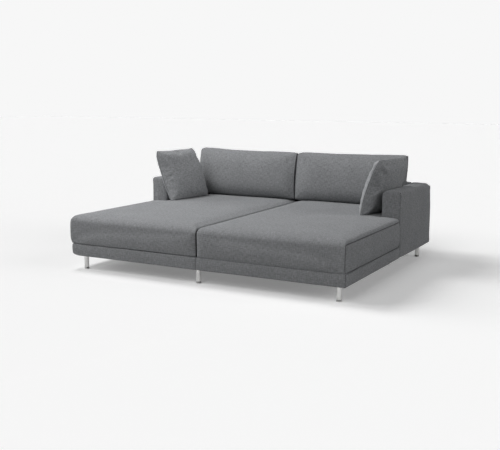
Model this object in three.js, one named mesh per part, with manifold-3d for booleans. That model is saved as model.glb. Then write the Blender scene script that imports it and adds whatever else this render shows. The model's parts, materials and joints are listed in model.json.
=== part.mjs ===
// A low modular sofa of two chaise modules that stand side by side, built as it comes apart on a bench.
// Lengths are in millimetres. X runs along the front, Y from the front to the back, Z up from the
// floor, and the origin is on the floor under the middle of the sofa.
import * as THREE from 'three';
import { mergeVertices } from 'three/addons/utils/BufferGeometryUtils.js';
import Module from 'manifold-3d';

const wasm = await Module();
wasm.setup();

// The whole sofa
const moduleWidth = 1150;
const moduleDepth = 1885;
const moduleGap = 4;
const legHeight = 126;
const baseHeight = 80;
const seatCushionHeight = 224;
const armTop = 634;
const armWidth = 152;
const armLength = 795;
const backThickness = 152;

// Clearances and overruns
const clearance = 0.3;
const seatGap = 2.5;
const cushionGap = 2;
const overrun = 10;
const leastRadius = 1;

// Base frame, deck and cloth
const fabricThickness = 3;
const railThickness = 27;
const tenonLength = 12;
const tenonThickness = 12;
const tenonHeight = 44;
const webbingThickness = 2;
const strapWidth = 96;
const strapPitch = 236;
const dustClothThickness = 2;
const dustClothLap = 2;
const baseCornerRadius = 12;
const baseLowRound = 16;
const innerCornerRadius = 5;

// Arms and backs
const padThickness = 18;
const armEdgeRound = 42;
const armCornerRadius = 4;
const armTopCrown = 5;
const frameBarWidth = 42;
const armWindows = { along: 3, up: 2 };
const backWindows = { along: 4, up: 2 };
const dowelRadius = 6;
const dowelReach = 20;
const dowelSetback = 90;

// Seat cushions
const seatFrontRound = 38;
const seatSideRound = 16;
const seatRearRound = 14;
const seatLowRound = 8;
const seatCornerRadius = 30;
const seatBelly = 10;
const seatCentreShare = 0.62;
const crownShares = [0.62];
const seatRearCornerRadius = 18;
const seatCrown = 14;
const seatDrawIn = 3;
const coverThickness = 2;
const zipGap = 4;
const seatZipLength = 700;
const backZipLength = 620;
const pillowZipLength = 300;
const zipSetback = 26;

// Back cushions
const backCushionHeight = 436;
const backCushionDepth = 146;
const backCushionCrown = 26;
const backCushionRound = 20;
const backCushionCornerRadius = 34;
const backCushionSideDrawIn = 12;
const backCushionTopDrawIn = 7;
const backTaperShare = 0.6;

// Throw pillows
const pillowSize = 480;
const pillowEdge = 10;
const pillowCrown = 56;
const pillowCornerRadius = 16;
const pillowDrawIn = 17;
const pillowCrownShares = [0.86, 0.58, 0.3];
const pillowRise = 434;
const pillowSink = 4;

// Where each pillow stands and leans at its front and rear ends, as shares of its size
const pillowPlaceShares = {
  left: {
    forward: 0.104,
    front: { inset: 0.517, lean: 0.325, sag: 0.054 },
    rear: { inset: 0.656, lean: 0.346, sag: -0.046 },
  },
  right: {
    forward: 0.146,
    front: { inset: 0.633, lean: 0.329, sag: -0.083 },
    rear: { inset: 0.358, lean: 0.175, sag: 0 },
  },
};

// Legs, glides and the link between the modules
const legRadius = 18.5;
const legWall = 2;
const plateWidth = 92;
const plateThickness = 4;
const plateSetback = 4;
const legSideInset = 71;
const legFrontInset = 79;
const innerLegInset = 29;
const glideRadius = 20.5;
const glideFootHeight = 8;
const glideNeckRadius = 13;
const glideCollarHeight = 2;
const glideNeckHeight = 4;
const glideSpigotHeight = 16;
const linkPlateReach = 76;
const linkPlateWidth = 64;
const linkPinRadius = 6;
const linkPinHeight = 26;
const bushWall = 2.4;
const bushHeight = 28;
const linkPlaceShares = { front: 0.27, rear: 0.8 };

// Places that follow from the sizes, on the right-hand module. The left-hand one is its mirror image.
const front = (seatBelly - moduleDepth) / 2;
const rear = front + moduleDepth;
const inner = moduleGap / 2;
const outer = moduleWidth;
const armFront = rear - armLength;
const armInner = outer - armWidth;
const backFront = rear - backThickness;
const coverLow = legHeight + dustClothThickness;
const seatLine = legHeight + baseHeight;
const railHigh = seatLine - webbingThickness;
const seatTop = seatLine + seatCushionHeight;
const railOffset = fabricThickness + clearance;
const coreOffset = coverThickness + clearance;

// Counts
const arcSteps = 2;
const sidePoints = 2;
const roundSides = 16;

// Turns a closed geometry into a solid that can be cut, and a solid back into a geometry.
function solidOf(geometry) {
  const bare = geometry.clone();
  bare.deleteAttribute('normal');
  bare.deleteAttribute('uv');
  const merged = mergeVertices(bare);
  return new wasm.Manifold(new wasm.Mesh({
    numProp: 3,
    vertProperties: merged.attributes.position.array,
    triVerts: new Uint32Array(merged.index.array),
  }));
}

function geometryOf(solid) {
  const mesh = solid.getMesh();
  const geometry = new THREE.BufferGeometry();
  geometry.setAttribute('position', new THREE.BufferAttribute(mesh.vertProperties, 3));
  geometry.setIndex(new THREE.BufferAttribute(mesh.triVerts, 1));
  geometry.computeVertexNormals();
  return geometry;
}

function cut(solid, ...tools) {
  return tools.reduce((rest, tool) => rest.subtract(tool), solid);
}

function join(solid, ...others) {
  return others.reduce((whole, other) => whole.add(other), solid);
}

// Mirrors a geometry from the right-hand module to the left-hand one and keeps its faces outwards.
function mirrored(geometry) {
  const copy = geometry.clone();
  const position = copy.attributes.position;
  for (let i = 0; i < position.count; i += 1) {
    position.setX(i, -position.getX(i));
  }
  const index = copy.index.array;
  for (let i = 0; i < index.length; i += 3) {
    [index[i + 1], index[i + 2]] = [index[i + 2], index[i + 1]];
  }
  copy.computeVertexNormals();
  return copy;
}

// A box between two values on each axis, as a geometry and as a solid.
function boxBetween([x0, x1], [y0, y1], [z0, z1]) {
  const geometry = new THREE.BoxGeometry(x1 - x0, y1 - y0, z1 - z0);
  return geometry.translate((x0 + x1) / 2, (y0 + y1) / 2, (z0 + z1) / 2);
}

function block(x, y, z) {
  return solidOf(boxBetween(x, y, z));
}

// A round bar from one point along an axis.
function bar(radius, from, axis, length) {
  const geometry = new THREE.CylinderGeometry(radius, radius, length, roundSides);
  geometry.translate(0, length / 2, 0);
  geometry.applyQuaternion(new THREE.Quaternion().setFromUnitVectors(new THREE.Vector3(0, 1, 0), axis));
  geometry.translate(from.x, from.y, from.z);
  return solidOf(geometry);
}

// A turned piece about a vertical axis through x, y, from a closed profile of radius and height pairs.
function turned(profile, x, y) {
  const points = profile.map(([radius, height]) => new THREE.Vector2(radius, height));
  const geometry = new THREE.LatheGeometry(points, roundSides);
  geometry.rotateX(Math.PI / 2);
  geometry.translate(x, y, 0);
  return solidOf(geometry);
}

// Moves each side of a corner-to-corner outline inwards by its own distance.
// A corner is [x, y, radius], and side k runs from corner k to corner k + 1, anticlockwise.
function insetCorners(corners, distances) {
  const count = corners.length;
  const lines = corners.map(([x, y], k) => {
    const [nextX, nextY] = corners[(k + 1) % count];
    const along = new THREE.Vector2(nextX - x, nextY - y).normalize();
    const inwards = new THREE.Vector2(-along.y, along.x);
    return { from: new THREE.Vector2(x, y).addScaledVector(inwards, distances[k]), along };
  });
  return corners.map(([, , radius], k) => {
    const before = lines[(k + count - 1) % count];
    const after = lines[k];
    const between = after.from.clone().sub(before.from);
    const reach = between.cross(after.along) / before.along.cross(after.along);
    const place = before.from.clone().addScaledVector(before.along, reach);
    const turn = Math.sign(before.along.cross(after.along));
    const distance = Math.max(distances[k], distances[(k + count - 1) % count]);
    return [place.x, place.y, Math.max(radius - turn * distance, leastRadius)];
  });
}

// Points round an outline with rounded corners and sides that draw in between them.
// Each point keeps the two sides that it lies between, and its share of the way from one to the other.
function outlinePoints(corners, drawIns) {
  const count = corners.length;
  const points = [];
  const bend = corners.map(([x, y, radius], k) => {
    const [px, py] = corners[(k + count - 1) % count];
    const [nx, ny] = corners[(k + 1) % count];
    const into = new THREE.Vector2(x - px, y - py).normalize();
    const out = new THREE.Vector2(nx - x, ny - y).normalize();
    const angle = Math.atan2(into.cross(out), into.dot(out));
    const setback = radius * Math.tan(Math.abs(angle) / 2);
    const start = new THREE.Vector2(x, y).addScaledVector(into, -setback);
    const end = new THREE.Vector2(x, y).addScaledVector(out, setback);
    const side = Math.sign(angle);
    const middle = start.clone().add(new THREE.Vector2(-into.y, into.x).multiplyScalar(side * radius));
    return { into, out, angle, start, end, middle, radius, side };
  });
  bend.forEach(({ into, angle, end, middle, radius, side, out }, k) => {
    for (let step = 0; step <= arcSteps; step += 1) {
      const share = step / arcSteps;
      const along = into.clone().rotateAround(new THREE.Vector2(), angle * share);
      const outwards = new THREE.Vector2(along.y, -along.x).multiplyScalar(side * radius);
      const place = middle.clone().add(outwards);
      points.push({ x: place.x, y: place.y, sides: [(k + count - 1) % count, k], share });
    }
    const next = bend[(k + 1) % count].start;
    const inwards = new THREE.Vector2(-out.y, out.x);
    for (let step = 1; step <= sidePoints && drawIns[k] > 0; step += 1) {
      const share = step / (sidePoints + 1);
      const place = end.clone().lerp(next, share);
      place.addScaledVector(inwards, drawIns[k] * Math.sin(Math.PI * share));
      points.push({ x: place.x, y: place.y, sides: [k, k], share: 0 });
    }
  });
  return points;
}

// Joins rings with the same number of points into one closed skin. The first and last are one point.
function skin(rings) {
  const around = rings[1].length;
  const positions = [];
  const starts = rings.map((ring) => {
    const start = positions.length / 3;
    ring.forEach((point) => positions.push(point.x, point.y, point.z));
    return start;
  });
  const index = [];
  for (let r = 0; r < rings.length - 1; r += 1) {
    for (let k = 0; k < around; k += 1) {
      const next = (k + 1) % around;
      const below = starts[r];
      const above = starts[r + 1];
      if (rings[r].length === 1) index.push(below, above + next, above + k);
      else if (rings[r + 1].length === 1) index.push(below + k, below + next, above);
      else {
        index.push(below + k, below + next, above + next);
        index.push(below + k, above + next, above + k);
      }
    }
  }
  const geometry = new THREE.BufferGeometry();
  geometry.setAttribute('position', new THREE.Float32BufferAttribute(positions, 3));
  geometry.setIndex(index);
  return geometry;
}

// A padded form: an outline that rises from low to high, with its edges rounded side by side, its sides
// drawn in between the corners, and a crown above and below. Where drops are given, an end that isn't
// rounded takes its outline from the rounded sides beside it. A positive inset makes the same form
// smaller all over, which gives a cover its inside and a core its outside. reshape bends the result.
function padded(form, inset) {
  const { corners, rounds, lowRounds, bellies, drawIns, centre, low, high, crown } = form;
  const lowRound = Math.max(...lowRounds);
  const lowCrown = form.lowCrown ?? 0;
  const shares = form.crownShares ?? crownShares;
  const drops = form.drops ?? rounds;
  const bottom = low + inset;
  const top = high - inset;
  const ring = (sideInsets, height) => {
    const outline = outlinePoints(insetCorners(corners, sideInsets), drawIns);
    return outline.map((point) => new THREE.Vector3(point.x, point.y, height(point)));
  };
  const drop = (point, turn) => {
    const [before, after] = point.sides.map((side) => drops[side]);
    return THREE.MathUtils.lerp(before, after, point.share) * (1 - Math.sin(turn));
  };
  const edge = (turn) => ring(
    rounds.map((round) => inset + round * (1 - Math.cos(turn))),
    (point) => top - drop(point, turn),
  );
  const crowned = (share, sideInsets, level, rise) => ring(sideInsets, () => level).map((point) => (
    new THREE.Vector3(
      THREE.MathUtils.lerp(centre[0], point.x, share),
      THREE.MathUtils.lerp(centre[1], point.y, share),
      level + rise * Math.cos(share * Math.PI / 2),
    )));
  const straightSides = rounds.map(() => inset);
  const bellySides = bellies.map((belly) => inset - belly);
  const lowSides = lowRounds.map((round) => inset + round);
  const highSides = rounds.map((round) => inset + round);
  const lowShares = lowCrown > 0 ? [...shares].reverse() : [];
  const rings = [
    [new THREE.Vector3(centre[0], centre[1], bottom - lowCrown)],
    ...lowShares.map((share) => crowned(share, lowSides, bottom, -lowCrown)),
    ring(lowSides, () => bottom),
    ...(lowRound > 0 ? [ring(straightSides, () => bottom + lowRound)] : []),
    ...(Math.max(...bellies) > 0 ? [ring(bellySides, () => (bottom + top) / 2)] : []),
    ...(form.edgeTurns ?? [0, Math.PI / 4, Math.PI / 2]).map(edge),
    ...shares.map((share) => crowned(share, highSides, top, crown)),
    [new THREE.Vector3(centre[0], centre[1], top + crown)],
  ];
  return solidOf(reshaped(skin(rings), form));
}

// Bends a geometry from the space where its form lies flat to where the form stands.
function reshaped(geometry, { reshape }) {
  const position = geometry.attributes.position;
  const point = new THREE.Vector3();
  for (let i = 0; i < position.count && reshape; i += 1) {
    reshape(point.fromBufferAttribute(position, i));
    position.setXYZ(i, point.x, point.y, point.z);
  }
  return geometry;
}

// Outlines on the right-hand module
const baseOutline = (radius) => [
  [inner, front, baseCornerRadius],
  [outer, front, baseCornerRadius],
  [outer, armFront - clearance, radius],
  [armInner - clearance, armFront - clearance, radius],
  [armInner - clearance, backFront - clearance, radius],
  [inner, backFront - clearance, radius],
];

const baseForm = {
  corners: baseOutline(innerCornerRadius),
  rounds: [0, 0, 0, 0, 0, 0],
  lowRounds: [baseLowRound, baseLowRound, 0, 0, 0, 0],
  bellies: [0, 0, 0, 0, 0, 0],
  drawIns: [0, 0, 0, 0, 0, 0],
  centre: [(inner + armInner) / 2, THREE.MathUtils.lerp(front, armFront, seatCentreShare)],
  low: coverLow,
  high: seatLine,
  crown: 0,
  edgeTurns: [Math.PI / 2],
  crownShares: [],
};

const seatForm = {
  corners: [
    [inner + seatGap, front, seatCornerRadius],
    [outer, front, seatCornerRadius],
    [outer, armFront - seatGap, seatRearCornerRadius],
    [armInner - seatGap, armFront - seatGap, innerCornerRadius],
    [armInner - seatGap, backFront - seatGap, seatRearCornerRadius],
    [inner + seatGap, backFront - seatGap, seatRearCornerRadius],
  ],
  rounds: [seatFrontRound, seatSideRound, seatRearRound, seatRearRound, seatRearRound, seatSideRound],
  lowRounds: Array(6).fill(seatLowRound),
  bellies: [seatBelly, seatBelly, 0, 0, 0, 0],
  drawIns: [seatDrawIn, seatDrawIn, 0, 0, 0, seatDrawIn],
  centre: baseForm.centre,
  low: seatLine + clearance,
  high: seatTop,
  crown: seatCrown,
};

const armForm = {
  corners: [
    [armInner, armFront, armCornerRadius],
    [outer, armFront, armCornerRadius],
    [outer, rear, armCornerRadius],
    [armInner, rear, armCornerRadius],
  ],
  rounds: [0, armEdgeRound, 0, armEdgeRound],
  drops: Array(4).fill(armEdgeRound),
  lowRounds: [0, baseLowRound, baseLowRound, 0],
  bellies: [0, 0, 0, 0],
  drawIns: [0, 0, 0, 0],
  centre: [(armInner + outer) / 2, (armFront + rear) / 2],
  low: coverLow,
  high: armTop - armTopCrown,
  crown: armTopCrown,
};

const backForm = {
  ...armForm,
  corners: [
    [inner, backFront, armCornerRadius],
    [armInner - clearance, backFront, armCornerRadius],
    [armInner - clearance, rear, armCornerRadius],
    [inner, rear, armCornerRadius],
  ],
  rounds: [armEdgeRound, 0, armEdgeRound, 0],
  lowRounds: [0, 0, baseLowRound, 0],
  centre: [(inner + armInner) / 2, (backFront + rear) / 2],
};

// Laid flat, a back cushion has its height along Y and its thickness along Z. Stood up, its rear lies
// on the back, and it thins towards the top.
const backCushionForm = {
  corners: [
    [inner + cushionGap, 0, backCushionCornerRadius],
    [armInner - cushionGap, 0, backCushionCornerRadius],
    [armInner - cushionGap, backCushionHeight, backCushionCornerRadius],
    [inner + cushionGap, backCushionHeight, backCushionCornerRadius],
  ],
  rounds: Array(4).fill(backCushionRound),
  lowRounds: Array(4).fill(seatLowRound),
  bellies: [0, 0, 0, 0],
  drawIns: [0, backCushionSideDrawIn, backCushionTopDrawIn, backCushionSideDrawIn],
  centre: [(inner + armInner) / 2, backCushionHeight / 2],
  low: 0,
  high: backCushionDepth,
  crown: backCushionCrown,
  reshape: (point) => {
    const taper = 1 - backTaperShare * point.y / backCushionHeight;
    point.set(point.x, backFront - clearance - point.z * taper, seatTop + point.y);
  },
};

// Laid flat, a pillow is square with its thickness along Z. Stood on its lower edge it leans on the
// arm. Its front and rear ends lean and sag by amounts of their own, which twists it.
function pillowForm(side) {
  const half = pillowSize / 2;
  const { forward, front: near, rear: far } = pillowPlaceShares[side];
  const outAt = ({ inset, lean, sag }, up) => (
    outer + pillowSize * (lean * up + 4 * sag * up * (1 - up) - inset));
  const slopeAt = ({ lean, sag }, up) => pillowSize * (lean + 4 * sag * (1 - 2 * up)) / pillowRise;
  return {
    corners: [[-half, 0], [half, 0], [half, pillowSize], [-half, pillowSize]]
      .map(([x, y]) => [x, y, pillowCornerRadius]),
    rounds: [0, 0, 0, 0],
    lowRounds: [0, 0, 0, 0],
    bellies: [0, 0, 0, 0],
    drawIns: [0, pillowDrawIn, pillowDrawIn, pillowDrawIn],
    centre: [0, half],
    low: -pillowEdge / 2,
    high: pillowEdge / 2,
    crown: pillowCrown,
    lowCrown: pillowCrown,
    edgeTurns: [Math.PI / 2],
    crownShares: pillowCrownShares,
    reshape: (point) => {
      const along = (point.x + half) / pillowSize;
      const rise = point.y / pillowSize;
      const tilt = Math.atan(THREE.MathUtils.lerp(slopeAt(near, rise), slopeAt(far, rise), along));
      const out = THREE.MathUtils.lerp(outAt(near, rise), outAt(far, rise), along);
      point.set(
        out + point.z * Math.cos(tilt),
        armFront - forward * pillowSize + point.x + half,
        seatTop - pillowSink + pillowRise * rise - point.z * Math.sin(tilt),
      );
    },
  };
}

// Materials
const material = (color, roughness, metalness) => (
  new THREE.MeshStandardMaterial({ color, roughness, metalness }));
const fabric = material(0x8d8e91, 0.95, 0);
const darkCloth = material(0x2b2b2d, 0.95, 0);
const jute = material(0x6a6054, 0.9, 0);
const timber = material(0xb9925f, 0.7, 0);
const foam = material(0xe6dfc6, 0.9, 0);
const fibre = material(0xf1f1ee, 0.95, 0);
const steel = material(0xb4b4b2, 0.35, 1);
const plastic = material(0x1c1c1d, 0.6, 0);

const sofa = new THREE.Group();

// Adds a piece made for the right-hand module, as it is or mirrored.
function place(name, solid, finish, side) {
  const geometry = geometryOf(solid);
  const mesh = new THREE.Mesh(side === 'left' ? mirrored(geometry) : geometry, finish);
  mesh.name = `${name}_${side}`;
  sofa.add(mesh);
}

// Base frame: six rails with stub tenons in mortises, inside the fabric of the base
const railBottom = coverLow;
const railMiddle = (railBottom + railHigh) / 2;
const frameX = [inner + railOffset, outer - railOffset];
const frameY = [front + railOffset, backFront - clearance - railOffset];
const armSideX = armInner - clearance - railOffset;
const crossY = armFront - clearance - railOffset;
const railZ = [railBottom, railHigh];
const insideX = [frameX[0] + railThickness, armSideX - railThickness];

const railBoxes = {
  front_rail: [frameX, [frameY[0], frameY[0] + railThickness]],
  cross_rail: [[insideX[0], frameX[1]], [crossY - railThickness, crossY]],
  back_rail: [[insideX[0], armSideX], [frameY[1] - railThickness, frameY[1]]],
  inner_rail: [[frameX[0], insideX[0]], [frameY[0] + railThickness, frameY[1]]],
  outer_rail: [
    [frameX[1] - railThickness, frameX[1]],
    [frameY[0] + railThickness, crossY - railThickness],
  ],
  arm_side_rail: [[insideX[1], armSideX], [crossY, frameY[1] - railThickness]],
};

// A tenon runs from the face of one rail into its neighbour, along X or Y.
function tenon(alongX, faceAt, direction, sideAt, spread) {
  const start = faceAt - direction * overrun;
  const end = faceAt + direction * (tenonLength + spread);
  const run = [Math.min(start, end), Math.max(start, end)];
  const across = [sideAt - tenonThickness / 2 - spread, sideAt + tenonThickness / 2 + spread];
  const up = [railMiddle - tenonHeight / 2 - spread, railMiddle + tenonHeight / 2 + spread];
  return alongX ? block(run, across, up) : block(across, run, up);
}

const middleOf = ([low, high]) => (low + high) / 2;
const [frontBoxX, frontBoxY] = railBoxes.front_rail;
const [, crossBoxY] = railBoxes.cross_rail;
const [, backBoxY] = railBoxes.back_rail;
const [innerBoxX] = railBoxes.inner_rail;
const [outerBoxX] = railBoxes.outer_rail;
const [sideBoxX] = railBoxes.arm_side_rail;

// Each joint: the rail with the tenon, the rail with the mortise, and where the tenon starts.
const railJoints = [
  ['inner_rail', 'front_rail', false, frontBoxY[1], -1, middleOf(innerBoxX)],
  ['outer_rail', 'front_rail', false, frontBoxY[1], -1, middleOf(outerBoxX)],
  ['outer_rail', 'cross_rail', false, crossBoxY[0], 1, middleOf(outerBoxX)],
  ['cross_rail', 'inner_rail', true, innerBoxX[1], -1, middleOf(crossBoxY)],
  ['back_rail', 'inner_rail', true, innerBoxX[1], -1, middleOf(backBoxY)],
  ['arm_side_rail', 'cross_rail', false, crossBoxY[1], -1, middleOf(sideBoxX)],
  ['arm_side_rail', 'back_rail', false, backBoxY[0], 1, middleOf(sideBoxX)],
];

// A flat sheet in a form's outline, with each side moved inwards by its own distance
function sheet(form, insets, low, high) {
  const corners = insetCorners(form.corners, insets);
  const points = outlinePoints(corners, corners.map(() => 0));
  const shape = new THREE.Shape(points.map(({ x, y }) => new THREE.Vector2(x, y)));
  const geometry = new THREE.ExtrudeGeometry(shape, { depth: high - low, bevelEnabled: false });
  geometry.translate(0, 0, low);
  return solidOf(geometry);
}

// The room inside a cover of an even thickness that follows its rounded lower edge and is open below
function roomInside(form, thickness) {
  const opening = form.lowRounds.map((round) => round + thickness);
  return join(
    padded({ ...form, low: form.low - thickness }, thickness),
    sheet(form, opening, form.low - overrun, form.low + overrun),
  );
}

// Dowels that are glued into the arm and back frames and stand in holes in the base frame
const padOffset = fabricThickness + 2 * clearance;
const padInside = padOffset + padThickness;
const dowelPlaces = {
  arm: [armFront + dowelSetback, backFront - dowelSetback].map((y) => ({
    from: new THREE.Vector3(armInner + padInside + overrun, y, railMiddle),
    axis: new THREE.Vector3(-1, 0, 0),
  })),
  back: [inner + dowelSetback, armInner - dowelSetback].map((x) => ({
    from: new THREE.Vector3(x, backFront + padInside + overrun, railMiddle),
    axis: new THREE.Vector3(0, -1, 0),
  })),
};
const dowelLength = overrun + padInside + clearance + railOffset + dowelReach;
const dowelBars = (piece, spread) => dowelPlaces[piece].map(({ from, axis }) => (
  bar(dowelRadius + 2 * spread, from, axis, dowelLength + spread)));
const dowels = (piece) => dowelBars(piece, 0);
const dowelHoles = (piece) => dowelBars(piece, clearance);

// A ladder of timber fills a box: long bars and posts between them, with windows through it along
// one axis
function ladder([x, y, z], through, columns, rows) {
  const length = through === 'x' ? y : x;
  const windowLength = (length[1] - length[0] - frameBarWidth * (columns + 1)) / columns;
  const windowHeight = (z[1] - z[0] - frameBarWidth * (rows + 1)) / rows;
  const windows = [];
  for (let column = 0; column < columns; column += 1) {
    for (let row = 0; row < rows; row += 1) {
      const start = length[0] + frameBarWidth + column * (windowLength + frameBarWidth);
      const foot = z[0] + frameBarWidth + row * (windowHeight + frameBarWidth);
      const run = [start, start + windowLength];
      const rise = [foot, foot + windowHeight];
      const beyond = ([low, high]) => [low - overrun, high + overrun];
      windows.push(through === 'x' ? block(beyond(x), run, rise) : block(run, beyond(y), rise));
    }
  }
  return cut(block(x, y, z), ...windows);
}

// A padded box has a cover, a foam pad inside it and the frame inside the pad. All are open below.
function paddedBox(form) {
  const [[x0, y0], , [x1, y1]] = form.corners;
  const frame = [
    [x0 + padInside, x1 - padInside],
    [y0 + padInside, y1 - padInside],
    [form.low, form.high - padInside],
  ];
  const room = frame.map(([start, end]) => [start - clearance, end + clearance]);
  const below = block(
    [x0 - overrun, x1 + overrun],
    [y0 - overrun, y1 + overrun],
    [form.low - 2 * overrun, form.low],
  );
  return {
    cover: cut(padded(form, 0), roomInside(form, fabricThickness)),
    pad: cut(roomInside(form, padOffset), block(...room), below),
    frame,
  };
}

function doweledBox(form, piece, through, windows) {
  const { cover, pad, frame } = paddedBox(form);
  const holes = dowelHoles(piece);
  return {
    cover: cut(cover, ...holes),
    pad: cut(pad, ...holes),
    frame: join(ladder(frame, through, windows.along, windows.up), ...dowels(piece)),
  };
}

// Webbing: straps woven both ways in one flat layer over the rails
function webbing() {
  const window = strapPitch - strapWidth;
  const windows = [];
  for (let x = insideX[0] + strapWidth / 2; x + window < frameX[1]; x += strapPitch) {
    for (let y = frameY[0] + railThickness + strapWidth / 2; y + window < frameY[1]; y += strapPitch) {
      const besideArm = y + window + strapWidth / 2 > crossY - railThickness;
      const sideEnd = besideArm ? insideX[1] : frameX[1] - railThickness;
      if (x + window + strapWidth / 2 > sideEnd) continue;
      windows.push(block([x, x + window], [y, y + window], [railHigh - overrun, seatLine + overrun]));
    }
  }
  return cut(sheet(baseForm, baseForm.rounds.map(() => railOffset), railHigh, seatLine), ...windows);
}

// Links: two plates under the left-hand inner rail, each with a pin that stands in a bush in the
// right-hand inner rail
const linkX = middleOf(innerBoxX);
const up = new THREE.Vector3(0, 0, 1);
const linkPlaces = Object.entries(linkPlaceShares).map(([end, share]) => (
  { end, y: THREE.MathUtils.lerp(front, backFront, share) }));
const bushRadius = linkPinRadius + 2 * clearance + bushWall;
const linkPlateTop = legHeight - clearance;

function linkPlate(y) {
  const plate = block(
    [-linkPlateReach, linkPlateReach],
    [y - linkPlateWidth / 2, y + linkPlateWidth / 2],
    [linkPlateTop - plateThickness, linkPlateTop],
  );
  const foot = new THREE.Vector3(linkX, y, linkPlateTop - plateThickness / 2);
  return join(plate, bar(linkPinRadius, foot, up, plateThickness / 2 + linkPinHeight));
}

function bush(y) {
  const foot = new THREE.Vector3(linkX, y, legHeight);
  const below = foot.clone().addScaledVector(up, -overrun);
  const hole = bar(linkPinRadius + 2 * clearance, below, up, bushHeight + 2 * overrun);
  return cut(bar(bushRadius, foot, up, bushHeight), hole);
}

const bushHoles = linkPlaces.map(({ y }) => {
  const below = new THREE.Vector3(linkX, y, legHeight - overrun);
  return bar(bushRadius + 2 * clearance, below, up, overrun + bushHeight + clearance);
});

// A leg is a tube welded under a plate, open at its lower end for the glide
const glideHeight = glideFootHeight + glideNeckHeight + glideCollarHeight;

function leg(x, y, plateX) {
  const plateLow = legHeight - plateThickness;
  const plate = block(plateX, [y - plateWidth / 2, y + plateWidth / 2], [plateLow, legHeight]);
  const foot = new THREE.Vector3(x, y, glideHeight);
  const below = foot.clone().addScaledVector(up, -overrun);
  const tube = cut(
    bar(legRadius, foot, up, plateLow - glideHeight + plateThickness / 2),
    bar(legRadius - legWall, below, up, plateLow - glideHeight + overrun),
  );
  return join(tube, plate);
}

function glide(x, y) {
  const neckTop = glideFootHeight + glideNeckHeight;
  const spigotRadius = legRadius - legWall - clearance;
  return turned([
    [0, 0],
    [glideRadius, 0],
    [glideRadius, glideFootHeight],
    [glideNeckRadius, glideFootHeight],
    [glideNeckRadius, neckTop],
    [legRadius, neckTop],
    [legRadius, glideHeight],
    [spigotRadius, glideHeight],
    [spigotRadius, glideHeight + glideSpigotHeight],
    [0, glideHeight + glideSpigotHeight],
  ], x, y);
}

// A cushion has a cover with a zip opening and a core inside it. It is shaped by what it rests on.
function cushion(form, supports, zip) {
  const shape = (inset) => cut(
    padded(form, inset),
    ...supports.map((support) => padded(support, -clearance - inset)),
  );
  return { cover: cut(shape(0), shape(coverThickness), zip), core: shape(coreOffset) };
}

// The opening for a zip, as a box in the space where the form lies flat
function zipOpening(form, x, y, z) {
  return solidOf(reshaped(boxBetween(x, y, z), form));
}

function seatCushion() {
  const [middleX] = seatForm.centre;
  const zipHeight = middleOf([seatForm.low, seatForm.high]);
  return cushion(seatForm, [], zipOpening(
    seatForm,
    [middleX - seatZipLength / 2, middleX + seatZipLength / 2],
    [backFront - seatGap - overrun, backFront + overrun],
    [zipHeight - zipGap / 2, zipHeight + zipGap / 2],
  ));
}

function backCushion() {
  const [middleX] = backCushionForm.centre;
  return cushion(backCushionForm, [seatForm], zipOpening(
    backCushionForm,
    [middleX - backZipLength / 2, middleX + backZipLength / 2],
    [zipSetback, zipSetback + zipGap],
    [-overrun, overrun],
  ));
}

function pillow(side) {
  const form = pillowForm(side);
  return cushion(form, [seatForm, armForm], zipOpening(
    form,
    [-pillowZipLength / 2, pillowZipLength / 2],
    [-overrun, zipSetback],
    [-zipGap / 2, zipGap / 2],
  ));
}

// Each module
const legPlaces = {
  front_outer: { x: outer - legSideInset, y: front + legFrontInset, sides: ['left', 'right'] },
  rear_outer: { x: outer - legSideInset, y: rear - legFrontInset, sides: ['left', 'right'] },
  front_inner: { x: inner + innerLegInset, y: front + legFrontInset, sides: ['left'] },
  rear_inner: { x: inner + innerLegInset, y: rear - legFrontInset, sides: ['left'] },
};
const arm = doweledBox(armForm, 'arm', 'x', armWindows);
const back = doweledBox(backForm, 'back', 'y', backWindows);
const seat = seatCushion();
const backrest = backCushion();
const deck = webbing();
const baseRim = cut(
  padded(baseForm, 0),
  roomInside({ ...baseForm, high: seatLine + overrun }, fabricThickness),
  ...dowelHoles('arm'),
  ...dowelHoles('back'),
);
const dustClothInset = baseLowRound + fabricThickness - dustClothLap;
const dustCloth = block(
  [inner + plateSetback, outer - dustClothInset],
  [front + dustClothInset, rear - dustClothInset],
  [legHeight, coverLow],
);
const frameForm = { ...baseForm, low: railBottom - railOffset, high: railHigh + railOffset };
const frameOutline = padded(frameForm, railOffset);

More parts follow.
